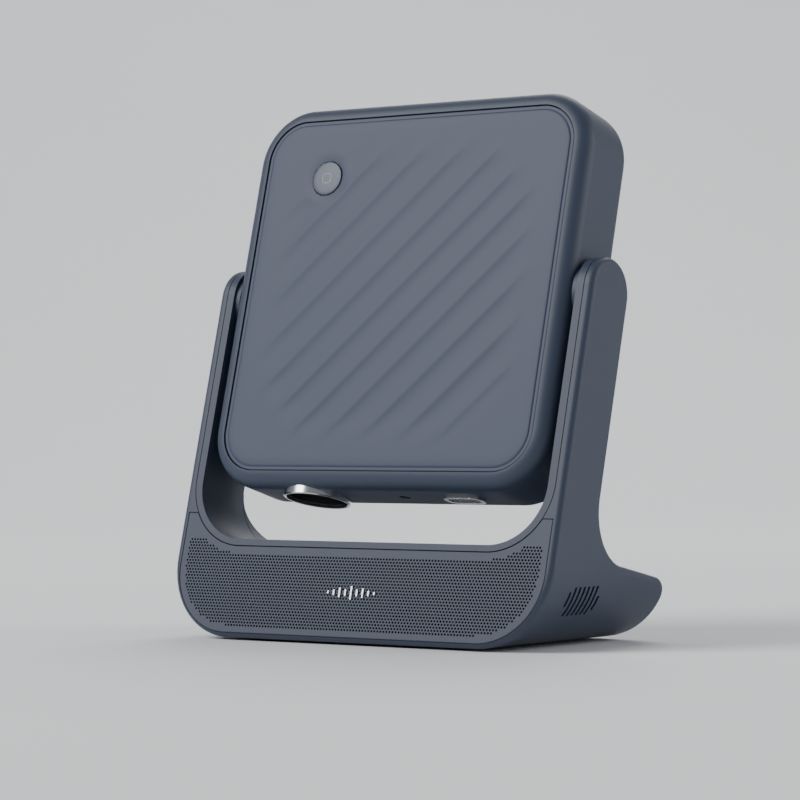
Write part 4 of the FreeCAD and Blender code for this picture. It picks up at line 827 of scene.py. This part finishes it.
class PROJECTOR_OT_lens(bpy.types.Operator):
    """Make the domed front lens"""
    bl_idname = "projector.lens"
    bl_label = "Front lens"

    def execute(self, context):
        low, high = head_span("front_lens")
        centre = (low + high) / 2
        radius = (high.x - low.x) / 2
        profile = [(radius * share, LENS_DOME * share ** 2) for share in
                   (0, 0.15, 0.3, 0.45, 0.6, 0.75, 0.9, 1)]
        profile += [(radius, high.z - low.z), (0, high.z - low.z)]
        place = head_matrix() @ Matrix.Translation((centre.x, centre.y, low.z))
        piece = new_piece("front_lens_glass", lathe("front_lens_glass", profile),
                          FINISHES["glass"], "lens_group", place)
        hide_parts("front_lens")
        return {"FINISHED"}


FOOT_RADIUS = 5 * MM


class PROJECTOR_OT_feet(bpy.types.Operator):
    """Make the rubber feet with rounded edges"""
    bl_idname = "projector.feet"
    bl_label = "Feet"

    def execute(self, context):
        low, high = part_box("rubber_feet")
        radius = FOOT_RADIUS
        height = high.z - low.z
        profile = [(0, 0.25 * MM), (radius * 0.55, 0.25 * MM), (radius * 0.62, 0),
                   (radius - 0.4 * MM, 0), (radius - 0.12 * MM, 0.12 * MM),
                   (radius, 0.4 * MM), (radius, height), (0, height)]
        for side_x, x in (("left", low.x + radius), ("right", high.x - radius)):
            for side_y, y in (("front", low.y + radius), ("rear", high.y - radius)):
                name = f"foot_{side_y}_{side_x}"
                piece = new_piece(name, lathe(name, profile, 48), FINISHES["rubber"], "stand",
                                  Matrix.Translation((x, y, low.z)))
                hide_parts("rubber_feet")
        return {"FINISHED"}


class PROJECTOR_OT_stage(bpy.types.Operator):
    """Set up the camera, the pale floor and the soft lights"""
    bl_idname = "projector.stage"
    bl_label = "Stage"

    def execute(self, context):
        stage = context.scene.projector_stage
        make_camera(stage)
        make_backdrop(stage)
        for name, (place, size, power) in LIGHTS.items():
            soft_light(name, place, size, power)
        world = bpy.data.worlds.new("studio")
        context.scene.world = world
        world.use_nodes = True
        background = world.node_tree.nodes["Background"]
        background.inputs["Color"].default_value = SKY_COLOUR
        background.inputs["Strength"].default_value = stage.sky
        return {"FINISHED"}


def make_camera(stage):
    """A long lens at the object's usual viewing angle."""
    target = Vector((0, stage.target_y, stage.target_z))
    flat = math.cos(stage.elevation)
    back = Vector((math.sin(stage.azimuth) * flat, -math.cos(stage.azimuth) * flat,
                   math.sin(stage.elevation)))
    camera = bpy.data.objects.new("camera", bpy.data.cameras.new("camera"))
    bpy.context.scene.collection.objects.link(camera)
    camera.data.lens = stage.lens
    camera.location = target + back * stage.distance
    camera.rotation_euler = (-back).to_track_quat("-Z", "Y").to_euler()
    bpy.context.scene.camera = camera


def make_backdrop(stage):
    """A floor that curves up into a wall behind the object, square to the camera."""
    profile = [(-4.0, 0.0), (FLOOR_BACK, 0.0)]
    profile += [(FLOOR_BACK + FLOOR_BEND * math.sin(math.radians(angle)),
                 FLOOR_BEND * (1 - math.cos(math.radians(angle)))) for angle in range(10, 91, 10)]
    profile.append((FLOOR_BACK + FLOOR_BEND, 4.0))
    turn = Matrix.Rotation(stage.azimuth, 3, "Z")
    vertices = [turn @ Vector((x, y, z)) for y, z in profile for x in (-5, 5)]
    faces = [(2 * index, 2 * index + 1, 2 * index + 3, 2 * index + 2)
             for index in range(len(profile) - 1)]
    mesh = mesh_from("floor", vertices, faces)
    mesh.polygons.foreach_set("use_smooth", [True] * len(mesh.polygons))
    mesh.materials.append(painted_floor("painted_floor", linear("#f1f2f3")))
    floor = bpy.data.objects.new("floor", mesh)
    bpy.context.scene.collection.objects.link(floor)


def soft_light(name, place, size, power):
    """A square soft light that faces the middle of the object."""
    lamp = bpy.data.lights.new(name, "AREA")
    lamp.size = size
    lamp.energy = power
    light = bpy.data.objects.new(name, lamp)
    bpy.context.scene.collection.objects.link(light)
    light.location = place
    aim = LIGHT_TARGET - Vector(place)
    light.rotation_euler = aim.to_track_quat("-Z", "Y").to_euler()


# Panel and registration -----------------------------------------------------------------------

OPERATORS = (PROJECTOR_OT_stage, PROJECTOR_OT_finishes, PROJECTOR_OT_front_cover,
             PROJECTOR_OT_power_button, PROJECTOR_OT_speaker_panel, PROJECTOR_OT_badge,
             PROJECTOR_OT_lens, PROJECTOR_OT_feet)
SETTINGS = {"projector_colours": ColourSettings, "projector_cover": CoverSettings,
            "projector_button": ButtonSettings, "projector_grille": GrilleSettings,
            "projector_stage": StageSettings}


class PROJECTOR_PT_panel(bpy.types.Panel):
    """Settings and pieces of the projector"""
    bl_idname = "PROJECTOR_PT_panel"
    bl_label = "Home projector"
    bl_space_type = "VIEW_3D"
    bl_region_type = "UI"
    bl_category = "Projector"

    def draw(self, context):
        for name in SETTINGS:
            box = self.layout.box()
            group = getattr(context.scene, name)
            for key in group.__annotations__:
                box.prop(group, key)
        for operator in OPERATORS:
            self.layout.operator(operator.bl_idname)


def register():
    for group in SETTINGS.values():
        bpy.utils.register_class(group)
    for name, group in SETTINGS.items():
        setattr(bpy.types.Scene, name, PointerProperty(type=group))
    for item in (*OPERATORS, PROJECTOR_PT_panel):
        bpy.utils.register_class(item)


def unregister():
    for item in reversed((*OPERATORS, PROJECTOR_PT_panel)):
        bpy.utils.unregister_class(item)
    for name in SETTINGS:
        delattr(bpy.types.Scene, name)
    for group in reversed(list(SETTINGS.values())):
        bpy.utils.unregister_class(group)


def main():
    """Make every piece."""
    register()
    for operator in OPERATORS:
        category, name = operator.bl_idname.split(".")
        getattr(getattr(bpy.ops, category), name)()


if __name__ == "__main__":
    main()
